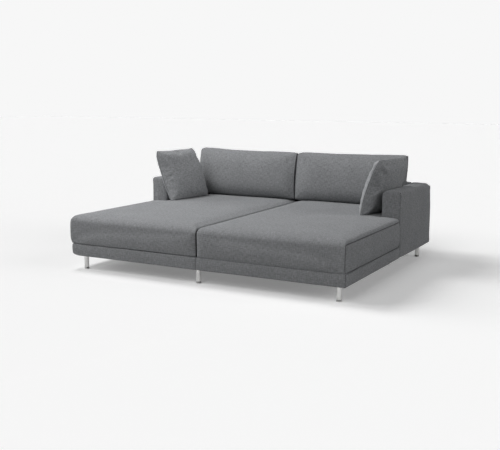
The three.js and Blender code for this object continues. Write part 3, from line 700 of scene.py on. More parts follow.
for side, sign in SIDES.items():
    split = (arm_low.x - TOUCH_GAP, arm_low.y - TOUCH_GAP)
    strip = crate(
        [
            ((base_low.x, base_low.y), split),
            ((split[0], base_low.y), (base_high.x, split[1])),
            ((base_low.x, split[1]), (split[0], base_high.y)),
        ],
        (base_low.z, base_high.z),
        (
            trimmed(base_low.x, base_high.x, BASE_LAP, BASE_CELL)
            + [base_high.x - inset for inset in BASE_EDGE_CUTS],
            trimmed(base_low.y, base_high.y, BASE_LAP, BASE_CELL)
            + [split[1] - BASE_LAP]
            + [base_low.y + inset for inset in BASE_EDGE_CUTS],
            [base_low.z + inset for inset in (*BASE_RIM_CUTS, BASE_ROUND)]
            + [base_high.z - inset for inset in BASE_RIM_CUTS]
            + cuts_between(base_low.z + BASE_ROUND, base_high.z - BASE_RIM_CUTS[-1], BASE_CELL_UP),
        ),
        1,
    )
    panel = strip.faces.layers.int["panel"]
    flat = []
    for face in strip.faces:
        middle = face.calc_center_median()
        face[panel] = 1 if face.normal.x > 0.5 and middle.x > arm_high.x - BASE_LAP else 0
        if abs(face.normal.z) > 0.5:
            far = split[1] if middle.x > split[0] else base_high.y
            wide = base_high.x if middle.y < split[1] else split[0]
            inside = base_low.x + BASE_LAP < middle.x < wide - BASE_LAP
            inside = inside and base_low.y + BASE_LAP < middle.y < far - BASE_LAP
            notch = middle.x < split[0] - BASE_LAP or middle.y < split[1] - BASE_LAP
            if inside and notch:
                flat.append(face)
    bmesh.ops.delete(strip, geom=flat, context="FACES")
    for vertex in strip.verts:
        point = vertex.co
        outwards = [base_high.x - point.x, point.y - base_low.y, point.z - base_low.z]
        out = Vector((1.0, 0.0)) if outwards[0] < outwards[1] else Vector((0.0, -1.0))
        depth = min(outwards[0], outwards[1])
        if max(outwards[0], outwards[1]) < BASE_CORNER:
            moved = round_off(outwards[0], outwards[1], BASE_CORNER)
            point.x += outwards[0] - moved[0]
            point.y -= outwards[1] - moved[1]
            out = Vector((BASE_CORNER - moved[0], -(BASE_CORNER - moved[1])))
            depth = BASE_CORNER - out.length
            out = out.normalized() if out.length > MERGE else Vector((0.0, 0.0))
        rim = ((BASE_ROUND, outwards[2], 1), (BASE_TOP_ROUND, base_high.z - point.z, -1))
        for radius, upwards, way in rim:
            if depth < radius and upwards < radius:
                shallower, height = round_off(depth, upwards, radius)
                point.z += way * (height - upwards)
                point.x -= out.x * (shallower - depth)
                point.y -= out.y * (shallower - depth)
        low_down = crown(fade(outwards[2], BASE_SAG_HEIGHT))
        point.z -= BASE_SAG * low_down * crown(fade(depth, BASE_LAP))
        point.x += BASE_WIDEN * crown(fade(outwards[0], BASE_WIDEN_REACH))
        if sign < 0:
            from_corner = math.hypot(max(0.0, outwards[0]), max(0.0, outwards[1]))
            lift = fade(from_corner, BASE_LIFT_REACH) ** 2 * fade(outwards[2], BASE_LIFT_REACH)
            point.z += BASE_CORNER_LIFT * lift
    cushioned = [
        vertex
        for vertex in strip.verts
        if vertex.co.z > base_low.z + BASE_ROUND and vertex.co.x > base_low.x + BASE_ROUND
    ]
    tall = base_high.z - base_low.z - BASE_ROUND
    strip.normal_update()
    for vertex in cushioned:
        share = (vertex.co.z - base_low.z - BASE_ROUND) / tall
        vertex.co += vertex.normal * BASE_PAD * math.sin(math.pi * share)
    sew(strip, SEAM_SPOT * BASE_SEAM_SHARE, SEAM_DEPTH * BASE_SEAM_SHARE)
    ripple(strip, BASE_RIPPLE, BASE_RIPPLE_SCALE, Vector((sign * 3.0, 1.0, 0.0)))
    bmesh.ops.recalc_face_normals(strip, faces=strip.faces[:])
    if sign < 0:
        mirrored(strip)
    skirt = rounded_piece(strip, f"base_strip_{side}", upholstery)
    wall = skirt.modifiers.new("wall", "SOLIDIFY")
    wall.thickness = BASE_CLOTH
    wall.offset = -1.0
    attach(skirt, f"{side}_module")
    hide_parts(f"base_cover_{side}")


# The dust cover. A thin black non-woven cloth is cut to the outline of the rails, pulled flat and
# stapled under each module.
DUST_CELL = 0.03
DUST_STAPLED = 0.04
DUST_RIPPLE = 0.0006
DUST_RIPPLE_SCALE = (9, 4)
DUST_THICKNESS = 0.0007


def non_woven():
    """Pressed black fibres with a faint embossed dot pattern."""
    material, start = material_with("non_woven", {"Roughness": 0.95, "Specular IOR Level": 0.2})
    place = start.node("TexCoord", {}, {}, 3)
    fibres = place.noise((700.0, 700.0, 700.0), 3.0)
    dots = place.crossed(1200.0)
    fibres.between(0.3, 0.7).colours((0.012, 0.012, 0.013, 1), (0.04, 0.04, 0.042, 1)).feeds("Base Color")
    (dots * 0.5 + fibres).bump(0.3, 0.0003).feeds("Normal")
    return material


dust_black = non_woven()
for side, sign in SIDES.items():
    low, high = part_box(f"dust_cover_{side}")
    sheet = bmesh.new()
    rectangle(sheet, low, high, (low.z + high.z) / 2)
    bisect(sheet, 0, cuts_between(low.x, high.x, DUST_CELL))
    bisect(sheet, 1, cuts_between(low.y, high.y, DUST_CELL))
    for vertex in sheet.verts:
        point = vertex.co
        inwards = min(point.x - low.x, high.x - point.x, point.y - low.y, high.y - point.y)
        free = kept(inwards / DUST_STAPLED)
        spot = Vector((point.x * DUST_RIPPLE_SCALE[0], point.y * DUST_RIPPLE_SCALE[1], sign))
        point.z += DUST_RIPPLE * free * noise.noise(spot)
    bmesh.ops.solidify(sheet, geom=sheet.faces[:], thickness=DUST_THICKNESS)
    bmesh.ops.recalc_face_normals(sheet, faces=sheet.faces[:])
    cloth = piece_from(sheet, f"dust_cloth_{side}", [dust_black])
    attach(cloth, f"{side}_module")
    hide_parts(f"dust_cover_{side}")


# The arms. Foam over the frame, in a cover of three panels: one goes up the inner side, over the top
# and down the outer side, and one is sewn in at each end.
ARM_ROUND = 0.04
ARM_REAR_ROUND = 0.03
ARM_OUTER_ROUND = (0.02, 0.036)
ARM_INNER_ROUND = (0.006, 0.04)
ARM_INNER_REACH = 0.3
ARM_SQUARE = 0.004
ARM_TOP_ROUND = 0.036
ARM_TOP_ROUND_FROM = 0.4
ARM_SEAM = 0.007
ARM_SEAM_DEEP = 0.01
ARM_CROWN = 0.005
ARM_CROWN_REACH = 0.12
ARM_FULL = Vector((0.004, 0.004, 0.0))
ARM_SWELL = Vector((0.009, 0.005, 0.0))
ARM_SWELL_DEPTH = 0.22
ARM_SWELL_FRONT_SHARE = 0.3
ARM_FRONT_LIFT = 0.011
ARM_LIFT_REACH = 0.625
ARM_FREE_ABOVE = 0.43
ARM_RIPPLE = 0.0016
ARM_RIPPLE_SCALE = (3.0, 16.0, 3.0)
ARM_CELL = 0.015
ARM_CUT = 0.0105
ARM_CUT_UP = 0.0125
ARM_EDGE = 0.004
ARM_REAR_CUTS = (0.003, 0.011, 0.017, 0.023, 0.03)
HELD = 0.004
INFLATING_STEPS = 20
arm_top = arm_high.z - ARM_CROWN


def extent(mesh):
    """The lowest and highest corner of a mesh."""
    return [
        Vector([pick(vertex.co[k] for vertex in mesh.verts) for k in range(3)]) for pick in (min, max)
    ]


def fit(mesh, low, high):
    """Stretches a mesh so that its outermost points reach the two corners."""
    from_low, from_high = extent(mesh)
    for vertex in mesh.verts:
        for k in range(3):
            share = (vertex.co[k] - from_low[k]) / (from_high[k] - from_low[k])
            vertex.co[k] = low[k] + share * (high[k] - low[k])


def inflate(mesh, held, pressure, cap, shrink=0.0, bending=0.4):
    """Blows the cloth up as its filling does. A point moves little further than cap."""
    mesh.verts.index_update()
    panel = mesh.faces.layers.int["panel"]
    seamed = {
        vertex.index
        for edge in mesh.edges
        if len({face[panel] for face in edge.link_faces}) > 1
        for vertex in edge.verts
    }
    data = bpy.data.meshes.new("cloth")
    mesh.to_mesh(data)
    piece = bpy.data.objects.new("cloth", data)
    bpy.context.scene.collection.objects.link(piece)
    pinned = piece.vertex_groups.new(name="pinned")
    sewn = piece.vertex_groups.new(name="sewn")
    for vertex in mesh.verts:
        pinned.add([vertex.index], held(vertex.co), "REPLACE")
        if vertex.index in seamed:
            sewn.add([vertex.index], 1.0, "REPLACE")
    cloth = piece.modifiers.new("cloth", "CLOTH")
    settings = cloth.settings
    settings.quality = 5
    settings.mass = 0.3
    settings.tension_stiffness = 12
    settings.compression_stiffness = 12
    settings.shear_stiffness = 4
    settings.bending_stiffness = bending
    settings.air_damping = 4
    settings.use_pressure = True
    settings.uniform_pressure_force = pressure
    settings.vertex_group_mass = "pinned"
    settings.pin_stiffness = 1.0
    settings.vertex_group_shrink = "sewn"
    settings.shrink_min = 0.0
    settings.shrink_max = shrink
    settings.effector_weights.gravity = 0
    for step in range(1, INFLATING_STEPS + 1):
        bpy.context.scene.frame_set(step)
    grown = piece.evaluated_get(bpy.context.evaluated_depsgraph_get()).data
    for vertex, moved in zip(mesh.verts, grown.vertices):
        shift = moved.co - vertex.co
        if shift.length > MERGE:
            vertex.co += shift * (cap * math.tanh(shift.length / cap) / shift.length)
    bpy.data.objects.remove(piece)
    bpy.context.scene.frame_set(1)


def crowned(mesh, low, high, along):
    """Raises the rounded top of an arm or a back between its two ends."""
    shoulder = high.z - ARM_CROWN - ARM_ROUND
    for vertex in mesh.verts:
        inwards = min(vertex.co[along] - low[along], high[along] - vertex.co[along])
        rise = max(0.0, vertex.co.z - shoulder) / ARM_ROUND
        vertex.co.z += ARM_CROWN * crown(inwards / ARM_CROWN_REACH) * rise


def arm_held(point):
    """The cover is stapled along its lower edge, and lies flat beside the seat."""
    beside_seat = point.x < arm_low.x + HELD and point.z < ARM_FREE_ABOVE
    return 1.0 if point.z < arm_low.z + HELD or beside_seat else 0.0


def arm_radius(out, up, point):
    """The round of an arm's edge. Beside the back the inner one is square, so that the two meet."""
    rearwards = (point.y - arm_low.y) / (arm_high.y - arm_low.y)
    if up < 0:
        return BASE_ROUND if out > 0 else ARM_SQUARE
    if out > 0:
        return ARM_OUTER_ROUND[0] + (ARM_OUTER_ROUND[1] - ARM_OUTER_ROUND[0]) * rearwards
    forwards = kept((rear_low.y - point.y) / ARM_INNER_REACH)
    return ARM_INNER_ROUND[0] + (ARM_INNER_ROUND[1] - ARM_INNER_ROUND[0]) * forwards


arm_mesh = crate(
    [((arm_low.x, arm_low.y), (arm_high.x, arm_high.y))],
    (arm_low.z, arm_top),
    (
        trimmed(arm_low.x, arm_high.x, ARM_CUT, ARM_CUT) + [arm_high.x - ARM_EDGE],
        trimmed(arm_low.y, arm_high.y, ARM_SEAM, ARM_CELL)
        + [arm_high.y - inset for inset in ARM_REAR_CUTS],
        trimmed(arm_low.z, arm_top, ARM_CUT, ARM_CUT_UP)
        + [arm_top - inset for inset in (ARM_EDGE, 4 * ARM_EDGE)],
    ),
    1,
)
panel = arm_mesh.faces.layers.int["panel"]
cloth = arm_mesh.loops.layers.uv["cloth"]
for face in arm_mesh.faces:
    middle = face.calc_center_median()
    at_rear = middle.y > arm_high.y - MERGE and middle.x < arm_high.x - ARM_EDGE
    face[panel] = 2 if middle.y < arm_low.y + ARM_SEAM else 1 if at_rear else 0
    for loop in face.loops:
        loop[cloth].uv = loop[cloth].uv.yx
arm_limits = (arm_low.copy(), Vector((arm_high.x, arm_high.y, arm_top)))
soften(arm_mesh, lambda point: arm_limits, 1, arm_radius, ARM_SEAM)
crowned(arm_mesh, arm_low, arm_high, 1)
for vertex in arm_mesh.verts:
    corner = (arm_high.y - vertex.co.y, arm_high.z - vertex.co.z)
    if max(corner) < ARM_REAR_ROUND:
        moved = round_off(*corner, ARM_REAR_ROUND)
        vertex.co.y += corner[0] - moved[0]
        vertex.co.z += corner[1] - moved[1]
inflate(arm_mesh, arm_held, pressure=1.2, cap=0.004)
fit(arm_mesh, arm_low, arm_high + ARM_FULL)
for vertex in arm_mesh.verts:
    rearwards = (vertex.co.y - arm_low.y) / (arm_high.y - arm_low.y)
    outwards = (vertex.co.x - arm_low.x) / (arm_high.x - arm_low.x)
    below = kept((arm_high.z - vertex.co.z) / ARM_SWELL_DEPTH)
    vertex.co.z += ARM_FRONT_LIFT * fade(rearwards, ARM_LIFT_REACH) * (1 - below)
    fuller = ARM_SWELL_FRONT_SHARE + (1 - ARM_SWELL_FRONT_SHARE) * min(1.0, 2 * rearwards)
    vertex.co.x += ARM_SWELL.x * below * outwards * fuller
    vertex.co.y += ARM_SWELL.y * below * max(0.0, 2 * rearwards - 1)
    vertex.co.z -= BASE_SAG * crown(fade(vertex.co.z - arm_low.z, BASE_SAG_HEIGHT)) * outwards
    for axis in (0, 1):
        centre = [arm_high[k] + ARM_FULL[k] - ARM_TOP_ROUND for k in (axis, 2)]
        beyond = Vector((max(0.0, vertex.co[axis] - centre[0]), max(0.0, vertex.co.z - centre[1])))
        if rearwards > ARM_TOP_ROUND_FROM and min(beyond) > 0 and beyond.length > ARM_TOP_ROUND:
            beyond *= ARM_TOP_ROUND / beyond.length
            vertex.co[axis] = centre[0] + beyond.x
            vertex.co.z = centre[1] + beyond.y


def beside_outer_side(edge):
    """The arm's seams that show run up beside its outer edges: one behind the front, one at the rear."""
    along = edge.verts[1].co - edge.verts[0].co
    outside = min(vertex.co.x for vertex in edge.verts) > arm_high.x - ARM_SEAM_DEEP
    return outside and abs(along.z) > abs(along.x)


for side, sign in SIDES.items():
    arm = arm_mesh.copy()
    sew(arm, SEAM_SPOT, SEAM_DEPTH, beside_outer_side)
    ripple(arm, ARM_RIPPLE, ARM_RIPPLE_SCALE, Vector((sign * 5.0, 0.0, 2.0)))
    if sign < 0:
        mirrored(arm)
    cover = rounded_piece(arm, f"arm_{side}", upholstery)
    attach(cover, f"{side}_module")
    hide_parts(f"arm_cover_{side}", f"arm_pad_{side}")


# The backs. They are made as the arms are, and their wrap goes up the front, over the top and down
# the rear.
BACK_RIPPLE_SCALE = (14.0, 3.0, 3.0)
rear_top = rear_high.z - ARM_CROWN
back_limits = (rear_low.copy(), Vector((rear_high.x, rear_high.y, rear_top)))


def back_radius(out, up, point):
    """The round of a back's edge. The front one is square at the bottom, where the deck meets it."""
    if up > 0:
        return ARM_ROUND
    return BASE_ROUND if out > 0 else ARM_SQUARE


back_mesh = crate(
    [((rear_low.x, rear_low.y), (rear_high.x, rear_high.y))],
    (rear_low.z, rear_top),
    (
        trimmed(rear_low.x, rear_high.x, ARM_SEAM, ARM_CELL),
        trimmed(rear_low.y, rear_high.y, ARM_CUT, ARM_CUT),
        trimmed(rear_low.z, rear_top, ARM_CUT, ARM_CUT_UP),
    ),
    0,
)
soften(back_mesh, lambda point: back_limits, 0, back_radius, ARM_SEAM)
crowned(back_mesh, rear_low, rear_high, 0)

for side, sign in SIDES.items():
    back = back_mesh.copy()
    sew(back, SEAM_SPOT, SEAM_DEPTH)
    ripple(back, ARM_RIPPLE, BACK_RIPPLE_SCALE, Vector((sign * 7.0, 1.0, 0.0)))
    if sign < 0:
        mirrored(back)
    cover = rounded_piece(back, f"back_{side}", upholstery)
    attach(cover, f"{side}_module")
    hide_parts(f"back_cover_{side}", f"back_pad_{side}")


# The seat cushions. A foam core in a zipped cover: the top panel rolls over the front edge and down
# the front, side panels are sewn in along both sides, and the bottom is a panel of its own. The right
# one's front corner is held in a little, and each hangs over its base by a different amount.
seat_low, seat_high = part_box("seat_cushion_cover_right")
SEAT_CROWN = 0.014
SEAT_CROWN_REACH = (0.25, 0.22)
SEAT_SHOULDER = 0.006
SEAT_SHOULDER_REACH = 0.3
SEAT_BELLY = 0.01
SEAT_BELLY_FROM = 0.06
SEAT_SIDE_BELLY = 0.022
SEAT_SIDE_BELLY_FROM = 0.02
SEAT_FULL = Vector((0.014, 0.004, 0.0))
SEAT_FRONT_ROUND = 0.038
SEAT_REAR_ROUND = 0.014
SEAT_LOW_ROUND = 0.01
SEAT_SEAM = 0.009
SEAT_ROLL = 0.02
SEAT_TIGHT = 0.004
SEAT_TIGHT_REACH = 0.1
SEAT_TUCK = 0.016
SEAT_TUCK_REACH = 0.012
SEAT_OVERHANG = {"left": 0.004, "right": 0.01}
SEAT_OVERHANG_DEPTH = 0.02
SEAT_OVERHANG_HEIGHT = 0.05
SEAT_GAP = 0.0025
SEAT_HIDDEN = 0.05
SEAT_RIPPLE = 0.003
SEAT_RIPPLE_SCALE = (3.0, 3.0, 6.0)
SEAT_CELL = 0.0165
SEAT_CELL_UP = 0.0135
SIDE_HELD = 0.003
ZIP_ROOM = Vector((0.006, 0.002, 0.022))
SEAT_ZIP_UP = 0.11
seat_split = Vector((arm_low.x - SEAT_GAP, arm_low.y - SEAT_GAP))
seat_bottom = Vector((seat_low.x, seat_low.y + SEAT_BELLY, seat_low.z))
seat_top = seat_high.z - SEAT_CROWN
seat_side = arm_high.x
seat_zip = seat_bottom.z + SEAT_ZIP_UP


def seat_limits(point):
    """The corners of the part of the seat cushion that a point lies in: before or beside the arm."""
    beside_arm = point.x > seat_split.x + MERGE
    behind = point.y > seat_split.y + MERGE
    far = seat_split.y if beside_arm else seat_high.y
    wide = seat_split.x if behind else seat_side
    return seat_bottom, Vector((wide, far, seat_top))


def seat_radius(deep, up, point):
    """The round of a seat cushion's edge, broad along the front's top."""
    if deep < 0:
        return SEAT_FRONT_ROUND if up > 0 else SEAT_LOW_ROUND
    return SEAT_REAR_ROUND if up > 0 else SEAT_LOW_ROUND


seat_mesh = crate(
    [
        ((seat_bottom.x, seat_bottom.y), (seat_split.x, seat_split.y)),
        ((seat_split.x, seat_bottom.y), (seat_side, seat_split.y)),
        ((seat_bottom.x, seat_split.y), (seat_split.x, seat_high.y)),
    ],
    (seat_bottom.z, seat_top),
    (
        trimmed(seat_bottom.x, seat_side, SEAT_SEAM, SEAT_CELL),
        trimmed(seat_bottom.y, seat_split.y, SEAT_SEAM, SEAT_CELL)
        + trimmed(seat_split.y, seat_high.y, SEAT_SEAM, SEAT_CELL),
        trimmed(seat_bottom.z, seat_top, SEAT_SEAM, SEAT_CELL_UP),
    ),
    0,
)
panel = seat_mesh.faces.layers.int["panel"]
for face in seat_mesh.faces:
    middle = face.calc_center_median()
    if middle.z > seat_top - SEAT_ROLL:
        face[panel] = 0
    elif middle.z < seat_bottom.z + MERGE:
        face[panel] = 3
soften(seat_mesh, seat_limits, 0, seat_radius, SEAT_SEAM)
for vertex in seat_mesh.verts:
    point = vertex.co.copy()
    low, high = seat_limits(point)
    across = min(point.x - low.x, seat_side - point.x) / SEAT_CROWN_REACH[0]
    deep = min(point.y - low.y, seat_high.y - point.y) / SEAT_CROWN_REACH[1]
    rise = max(0.0, (point.z - low.z) / (high.z - low.z))
    shoulder = SEAT_SHOULDER * fade(seat_side - point.x, SEAT_SHOULDER_REACH)
    vertex.co.z += (SEAT_CROWN * crown(across) * crown(deep) + shoulder) * rise ** 2
    swell = 1 - abs(2 * kept(rise) - 1) ** 4
    near = fade(point.y - low.y, SEAT_FRONT_ROUND)
    vertex.co.y -= SEAT_BELLY * swell * crown((point.x - low.x) / SEAT_BELLY_FROM) * near
    side_on = fade(seat_side - point.x, SEAT_FRONT_ROUND)
    if point.y < seat_split.y + MERGE:
        before_arm = seat_split.y - point.y
        bulge = SEAT_SIDE_BELLY * swell * crown(before_arm / SEAT_SIDE_BELLY_FROM)
        vertex.co.x += (bulge - SEAT_TUCK * fade(before_arm, SEAT_TUCK_REACH)) * side_on


def seat_held(point):
    """The cushion lies flat on the deck, and is held where the other cushions and the arm press it."""
    hidden = point.y > seat_split.y + SEAT_HIDDEN or point.x < seat_low.x + SIDE_HELD
    return 1.0 if point.z < seat_bottom.z + HELD or hidden and point.z < seat_top - SEAT_ROLL else 0.0


def make_room(mesh, rear, level):
    """Presses the cloth in where the zip lies, so that the cushion stays flat behind."""
    for vertex in mesh.verts:
        if vertex.co.y > rear - ZIP_ROOM.x and abs(vertex.co.z - level) < ZIP_ROOM.z:
            vertex.co.y -= ZIP_ROOM.y


inflate(seat_mesh, seat_held, pressure=1.6, cap=0.007)
fit(
    seat_mesh,
    Vector((seat_low.x, seat_low.y - SEAT_FULL.y, seat_low.z)),
    Vector((seat_high.x + SEAT_FULL.x, seat_high.y, seat_high.z)),
)

for side, sign in SIDES.items():
    seat = seat_mesh.copy()
    sew(seat, SEAM_SPOT, SEAM_DEPTH)
    ripple(seat, SEAT_RIPPLE, SEAT_RIPPLE_SCALE, Vector((sign * 11.0, 4.0, 0.0)))
    for vertex in seat.verts:
        beyond = vertex.co.x - (seat_side - SEAT_TIGHT)
        if sign > 0 and beyond > 0:
            vertex.co.x -= beyond * fade(vertex.co.y - seat_bottom.y, SEAT_TIGHT_REACH)
        inwards = min(seat_side - vertex.co.x, vertex.co.y - seat_bottom.y)
        outer = kept(fade(inwards, SEAT_OVERHANG_DEPTH))
        low_down = kept(fade(vertex.co.z - seat_bottom.z, SEAT_OVERHANG_HEIGHT))
        vertex.co.z -= SEAT_OVERHANG[side] * outer * low_down
    make_room(seat, seat_high.y, seat_zip)
    if sign < 0:
        mirrored(seat)
    cushion = rounded_piece(seat, f"seat_cushion_{side}", upholstery)
    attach(cushion, f"seat_cushion_{side}")
    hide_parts(f"seat_cushion_cover_{side}", f"seat_cushion_core_{side}")


# The back cushions. Fibre in a zipped cover with narrow side panels. They are thick at the seat, thin
# at the top, and stand loose between the seat cushion and the back.
rest_low, rest_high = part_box("back_cushion_cover_right")
REST_HEIGHT = 0.436
REST_DEPTH = 0.146
REST_THICKNESS = (0.13, 0.062)
REST_BELLY = 0.035
REST_ROUND = 0.03
REST_CORNER = 0.022
REST_CROWN = 0.026
REST_CROWN_REACH = (0.22, 0.16)
REST_PULL = 0.003
REST_DIP = 0.004
REST_SPREAD = 0.007
REST_SPREAD_FROM = 0.22
REST_SPREAD_REACH = (0.12, 0.08)
REST_DROOP = {"left": 0.012, "right": 0.007}
REST_DROOP_START = 0.1
REST_DROOP_SLOPE = 1.8
REST_CORNER_UP = 0.5
REST_CORNER_SHARE = 0.2
REST_SWELL = 0.006
REST_FULL = REST_DEPTH + REST_CROWN + REST_SWELL
REST_SEAM = 0.009
REST_RIPPLE = 0.004
REST_RIPPLE_SCALE = (5.0, 6.0, 5.0)
REST_CELL = 0.0135
REST_CELL_DEEP = 0.0125
REST_CUT = 0.01
PRESS_GAP = 0.0015
PRESS_REACH = 0.2
REST_ZIP_UP = 0.05
rest_zip = seat_top + REST_ZIP_UP
rest_limits = (
    Vector((rest_low.x, 0.0, 0.0)),
    Vector((rest_high.x, REST_HEIGHT, REST_DEPTH)),
)


def surface_of(name):
    """The shown surface of a finished piece."""
    return BVHTree.FromObject(bpy.data.objects[name], bpy.context.evaluated_depsgraph_get())


def keep_off(mesh, *names):
    """Pushes the points of a mesh out of its neighbours, which press it flat."""
    for name in names:
        neighbour = surface_of(name)
        for vertex in mesh.verts:
            place, normal, _, _ = neighbour.find_nearest(vertex.co, PRESS_REACH)
            if place is not None:
                height = (vertex.co - place).dot(normal)
                if height < PRESS_GAP:
                    vertex.co += normal * (PRESS_GAP - height)


rest_mesh = crate(
    [((rest_low.x, 0.0), (rest_high.x, REST_HEIGHT))],
    (0.0, REST_DEPTH),
    (
        trimmed(rest_low.x, rest_high.x, REST_SEAM, REST_CELL),
        trimmed(0.0, REST_HEIGHT, REST_CUT, REST_CELL),
        trimmed(0.0, REST_DEPTH, REST_CUT, REST_CELL_DEEP),
    ),
    0,
)
soften(rest_mesh, lambda point: rest_limits, 0, lambda deep, up, point: REST_ROUND, REST_SEAM)
for vertex in rest_mesh.verts:
    point = vertex.co.copy()
    low, high = rest_limits
    across = min(point.x - low.x, high.x - point.x)
    upwards = min(point.y, REST_HEIGHT - point.y)
    swell = crown(across / REST_CROWN_REACH[0]) * crown(upwards / REST_CROWN_REACH[1])
    vertex.co.z += REST_CROWN * swell * point.z / REST_DEPTH
    corner = (across, high.y - point.y)
    if max(corner) < REST_CORNER:
        moved = round_off(*corner, REST_CORNER)
        vertex.co.x += (moved[0] - corner[0]) * (1 if 2 * point.x < low.x + high.x else -1)
        vertex.co.y -= moved[1] - corner[1]
    middle = (low.x + high.x) / 2
    pull = REST_PULL * math.sin(math.pi * kept(point.y / REST_HEIGHT))
    vertex.co.x += (middle - point.x) / (high.x - middle) * pull
    if point.y > REST_HEIGHT / 2:
        dip = REST_DIP * math.sin(math.pi * (point.x - low.x) / (high.x - low.x))
        vertex.co.y -= dip * (2 * point.y / REST_HEIGHT - 1)


def rest_held(point):
    """The cushion's rear is held flat, and its side panels give only a little."""
    ends = min(point.x - rest_low.x, rest_high.x - point.x) < SIDE_HELD
    return 1.0 if point.z < HELD else 0.9 if ends else 0.0


inflate(rest_mesh, rest_held, pressure=3.0, cap=0.018, shrink=0.02)
fit(rest_mesh, rest_limits[0], Vector((rest_high.x, REST_HEIGHT, REST_FULL)))
for vertex in rest_mesh.verts:
    above_arm = kept((vertex.co.y - REST_SPREAD_FROM) / REST_SPREAD_REACH[1])
    over = fade(rest_high.x - vertex.co.x, REST_SPREAD_REACH[0])
    vertex.co.x += REST_SPREAD * above_arm * over

for side, sign in SIDES.items():
    rest = rest_mesh.copy()
    sew(rest, SEAM_SPOT, SEAM_DEPTH)
    ripple(rest, REST_RIPPLE, REST_RIPPLE_SCALE, Vector((sign * 13.0, 0.0, 5.0)))
    for vertex in rest.verts:
        up = vertex.co.y
        share = up / REST_HEIGHT
        full = REST_THICKNESS[0] + (REST_THICKNESS[1] - REST_THICKNESS[0]) * share
        full += 4 * REST_BELLY * share * (1 - share)
        forward = full * vertex.co.z / REST_FULL
        inner = 1 - (vertex.co.x - rest_low.x) / (rest_high.x - rest_low.x)
        droop = min(1.0, REST_DROOP_SLOPE * inner + REST_DROOP_START)
        droop -= REST_CORNER_UP * fade(inner, REST_CORNER_SHARE)
        up -= REST_DROOP[side] * share ** 2 * droop
        vertex.co = Vector((vertex.co.x, rear_low.y - TOUCH_GAP - forward, seat_top + up))
    bmesh.ops.recalc_face_normals(rest, faces=rest.faces[:])
    if sign < 0:
        mirrored(rest)
    keep_off(rest, f"seat_cushion_{side}", f"back_{side}", f"arm_{side}")
    make_room(rest, rear_low.y, rest_zip)
    cushion = rounded_piece(rest, f"back_cushion_{side}", upholstery)
    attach(cushion, f"back_cushion_{side}")
    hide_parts(f"back_cushion_cover_{side}", f"back_cushion_fill_{side}")


# The zips. A coil zip with a metal slider closes the rear of each seat and back cushion's cover. It
# is sewn in flush, so that the cushion still lies flat against what is behind it.
ZIP_REACH = (0.17, 0.83)
ZIP_PITCH = 0.004
ZIP_TAPE = 0.012
ZIP_GAP = 0.0015
ZIP_CLOTH = 0.0004
ZIP_SEWN = 0.0002
ZIP_BEHIND = 2.0
TOOTH = (0.0026, 0.0012, 0.0034)
SLIDER = (0.009, 0.0018, 0.0075)
SLIDER_ROUND = 0.0005
PULL = (0.02, 0.0008, 0.005)
PULL_ROUND = 0.0003
zip_tape = moulded("zip_tape", (0.045, 0.046, 0.048))
zip_metal = brushed("zip_metal", (0.42, 0.42, 0.43), 0.35, 0)


def block(mesh, centre, size, rounding, kind):
    """A small block, with its edges rounded if it is given a rounding."""
    before = set(mesh.faces)
    edges = cube(mesh, centre, size)
    if rounding:
        bevel(mesh, edges, rounding, 2)
    for face in mesh.faces:
        if face not in before:
            face.material_index = kind


for kind, level in (("seat_cushion", seat_zip), ("back_cushion", rest_zip)):
    for side, sign in SIDES.items():
        cover = surface_of(f"{kind}_{side}")
        zipper = bmesh.new()
        for way in (-1, 1):
            near, far = level + way * ZIP_GAP, level + way * (ZIP_GAP + ZIP_TAPE)
            start, end = ZIP_REACH
            spots = ((start, near), (end, near), (end, far), (start, far))
            zipper.faces.new([zipper.verts.new((x, 0.0, z)) for x, z in spots])
        bisect(zipper, 0, cuts_between(*ZIP_REACH, ZIP_TAPE))
        bmesh.ops.solidify(zipper, geom=zipper.faces[:], thickness=ZIP_CLOTH)
        teeth = round((ZIP_REACH[1] - ZIP_REACH[0]) / ZIP_PITCH)
        for tooth in range(teeth):
            x = ZIP_REACH[0] + (tooth + 0.5) * ZIP_PITCH
            block(zipper, (x, TOOTH[1] / 3, level), TOOTH, 0.0, 0)
        slider_x, pull_x = ZIP_REACH[1] - SLIDER[0] * 2 / 3, ZIP_REACH[1] - SLIDER[0] * 2
        block(zipper, (slider_x, SLIDER[1] / 2, level), SLIDER, SLIDER_ROUND, 1)
        block(zipper, (pull_x, SLIDER[1] - PULL[1] / 2, level), PULL, PULL_ROUND, 1)
        for vertex in zipper.verts:
            start = Vector((sign * vertex.co.x, ZIP_BEHIND, vertex.co.z))
            hit = cover.ray_cast(start, Vector((0.0, -1.0, 0.0)))[0]
            vertex.co = Vector((start.x, hit.y + vertex.co.y + ZIP_SEWN, start.z))
        bmesh.ops.recalc_face_normals(zipper, faces=zipper.faces[:])
        closing = piece_from(zipper, f"{kind}_zip_{side}", [zip_tape, zip_metal], smooth=False)
        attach(closing, f"{kind}_{side}")


# The throw pillows. Two squares of cloth are sewn edge to edge round a soft insert. Each stands on its
# lower edge on the seat and leans on the arm, twisted a little.
PILLOW_SIZE = 0.48
PILLOW_EDGE = 0.01
PILLOW_HALF_THICKNESS = 0.076
PILLOW_SLACKNESS = 0.4
PILLOW_DRAW_IN = 0.006
PILLOW_EAR = 0.004
PILLOW_EAR_REACH = 0.06
PILLOW_CORNER = 0.024
PILLOW_PUCKER = 0.003
PILLOW_FOLDS = (1.4, 3.4, 1.0, 1.8)
PILLOW_FAINT_FOLDS = 0.8
PILLOW_FOLD_PLACE = 0.07
PILLOW_FOLD_REACH = 0.05
PILLOW_FOLD_WAVES = 9
PILLOW_WANDER_SCALE = 9
PILLOW_GATHER = 0.6
PILLOW_GATHER_REACH = 0.022
PILLOW_GATHER_SCALE = 36
PILLOW_CALM_REACH = 0.02
PILLOW_CALM_SHARE = 0.2
